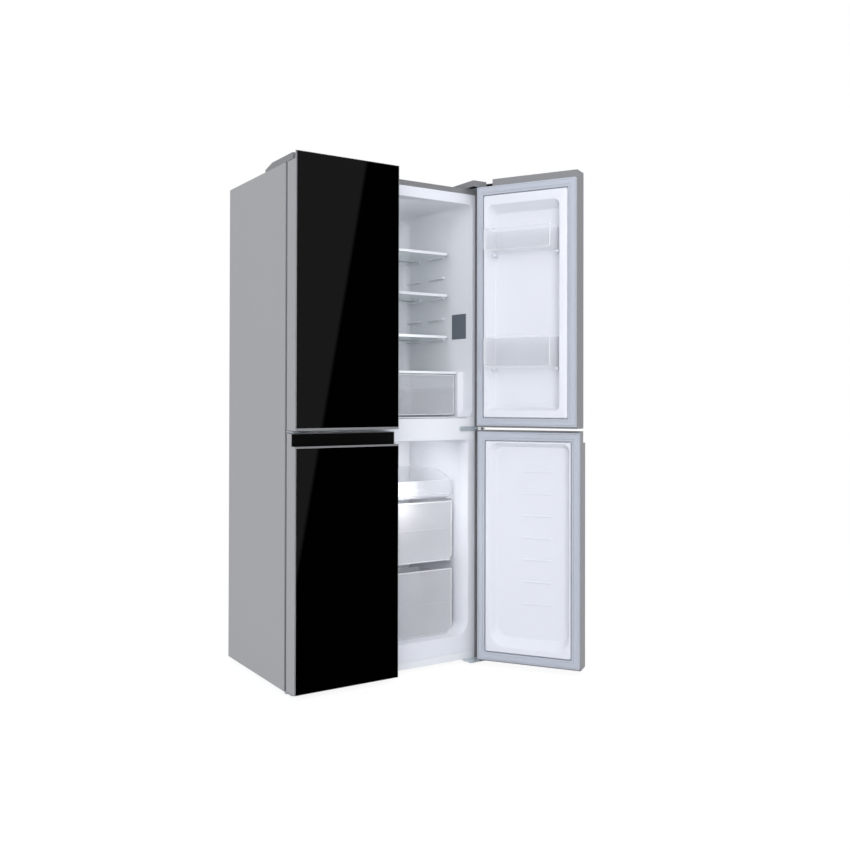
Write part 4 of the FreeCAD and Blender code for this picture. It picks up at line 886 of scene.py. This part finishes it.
def studio_floor():
    """Pale floor that shows near white, takes soft shadows and isn't mirrored in the glass."""
    shape = Shape()
    turns = [2 * math.pi * index / FLOOR_SIDES for index in range(FLOOR_SIDES)]
    ring = [Vector((FLOOR_REACH * math.cos(turn), FLOOR_REACH * math.sin(turn), 0)) for turn in turns]
    shape.mesh.faces.new([shape.mesh.verts.new(point) for point in ring])
    mesh = bpy.data.meshes.new("floor")
    shape.mesh.to_mesh(mesh)
    floor = bpy.data.objects.new("floor", mesh)
    bpy.context.scene.collection.objects.link(floor)
    finish = Finish("pale_floor")
    finish.set("Base Color", finish.between((0.82, 0.82, 0.825), (0.85, 0.85, 0.855), finish.noise(3.0)))
    finish.set("Roughness", 0.7)
    path = finish.add("LightPath")
    glow = finish.add("Emission", {}, {"Color": WHITE, "Strength": FLOOR_GLOW})
    clear = finish.add("BsdfTransparent")
    seen = finish.choose(FLOOR_GLOW_SHARE, finish.shader.outputs[0], glow.outputs[0])
    lit = finish.choose(path.outputs["Is Camera Ray"], finish.shader.outputs[0], seen)
    surface = finish.choose(path.outputs["Is Glossy Ray"], lit, clear.outputs[0])
    finish.feed(finish.output.inputs["Surface"], surface)
    floor.data.materials.append(finish.material)


def softbox(name, at, towards, width, height, power):
    """Area light that is seen neither by the camera nor in the glass."""
    light = bpy.data.lights.new(name, "AREA")
    light.shape = "RECTANGLE"
    light.size = width
    light.size_y = height
    light.energy = power
    light.color = WHITE
    lamp = bpy.data.objects.new(name, light)
    lamp.location = at
    lamp.rotation_euler = (Vector(towards) - Vector(at)).to_track_quat("-Z", "Y").to_euler()
    lamp.visible_camera = False
    lamp.visible_glossy = False
    bpy.context.scene.collection.objects.link(lamp)


CAMERA_AT = (-1.6864, -3.1632, 0.990)
CAMERA_YAW = 33.02
CAMERA_PITCH = 0.45
CAMERA_ROLL = -0.11
CAMERA_LENS = 39.98
CAMERA_SHIFT = (-0.01252, -0.04033)


def studio_camera():
    data = bpy.data.cameras.new("camera")
    data.lens = CAMERA_LENS
    data.sensor_width = 36.0
    data.shift_x, data.shift_y = CAMERA_SHIFT
    camera = bpy.data.objects.new("camera", data)
    turn = Matrix.Rotation(math.radians(-CAMERA_YAW), 4, "Z")
    tilt = Matrix.Rotation(math.radians(90 + CAMERA_PITCH), 4, "X")
    roll = Matrix.Rotation(math.radians(-CAMERA_ROLL), 4, "Z")
    camera.matrix_world = Matrix.Translation(CAMERA_AT) @ turn @ tilt @ roll
    bpy.context.scene.collection.objects.link(camera)
    bpy.context.scene.camera = camera


# Where the slanting edge of the dark screen is mirrored on the front glass, as (x, z).
SCREEN_EDGE = ((-0.1317, 1.7967), (-0.3786, 0.4631))
SCREEN_GREY = (0.235, 0.235, 0.235)
ROOM_LIGHT = (0.64, 0.665, 0.73)
ROOM_BEHIND = (0.92, 0.92, 0.93)
ROOM_AHEAD = (0.16, 0.16, 0.17)


def mirrored_at(x, z):
    """Direction in which the camera looks after one reflection in the shut doors."""
    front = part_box("left_upper_frame")[0][1]
    ray = Vector((x, front, z)) - Vector(CAMERA_AT)
    return Vector((ray.x, -ray.y, ray.z)).normalized()


def studio_world():
    """White backdrop, even room light, and a half dark screen mirrored in the doors."""
    world = bpy.data.worlds.new("studio")
    bpy.context.scene.world = world
    nodes = Nodes(world)
    top, bottom = (mirrored_at(x, z) for x, z in SCREEN_EDGE)
    edge = top.cross(bottom).normalized()
    middle = (top + bottom).normalized()
    if edge.x > 0:
        edge = -edge
    direction = nodes.add("TexCoord").outputs["Generated"]
    grey = nodes.step(nodes.along(direction, edge), -0.002, 0.002)
    screen = nodes.between((0.0, 0.0, 0.0), SCREEN_GREY, grey)
    facing = nodes.step(nodes.along(direction, middle), 0.66, 0.76)
    behind = nodes.step(nodes.along(direction, (0, 1, 0)), -0.3, 0.5)
    around = nodes.between(ROOM_AHEAD, ROOM_BEHIND, behind)
    mirrored = nodes.add("Background", {}, {"Color": nodes.between(around, screen, facing)})
    room = nodes.add("Background", {}, {"Color": ROOM_LIGHT})
    white = nodes.add("Background", {}, {"Color": WHITE})
    path = nodes.add("LightPath")
    seen = nodes.choose(path.outputs["Is Glossy Ray"], room.outputs[0], mirrored.outputs[0])
    surface = nodes.choose(path.outputs["Is Camera Ray"], seen, white.outputs[0])
    nodes.add("OutputWorld", {}, {"Surface": surface})


studio_floor()
studio_camera()
studio_world()
softbox("key", (-3.4, -3.0, 2.6), (0.2, 0, 0.9), 2.6, 2.6, 42.0)
softbox("front", (-0.8, -3.9, 1.5), (0.2, 0, 1.0), 1.4, 1.6, 34.0)
softbox("top", (0.2, -1.6, 3.4), (0.2, 0, 0.9), 2.5, 2.0, 14.0)
softbox("fridge_lamp", (-0.05, -0.19, 1.60), (0.25, 0.15, 1.25), 0.30, 0.30, 0.5)
softbox("crisper_fill", (0.10, -0.235, 1.20), (0.2, 0.1, 1.0), 0.20, 0.10, 0.12)
softbox("freezer_fill", (0.08, -0.215, 0.70), (0.22, 0.1, 0.45), 0.10, 0.30, 0.58)
bpy.context.scene.view_settings.view_transform = "Standard"
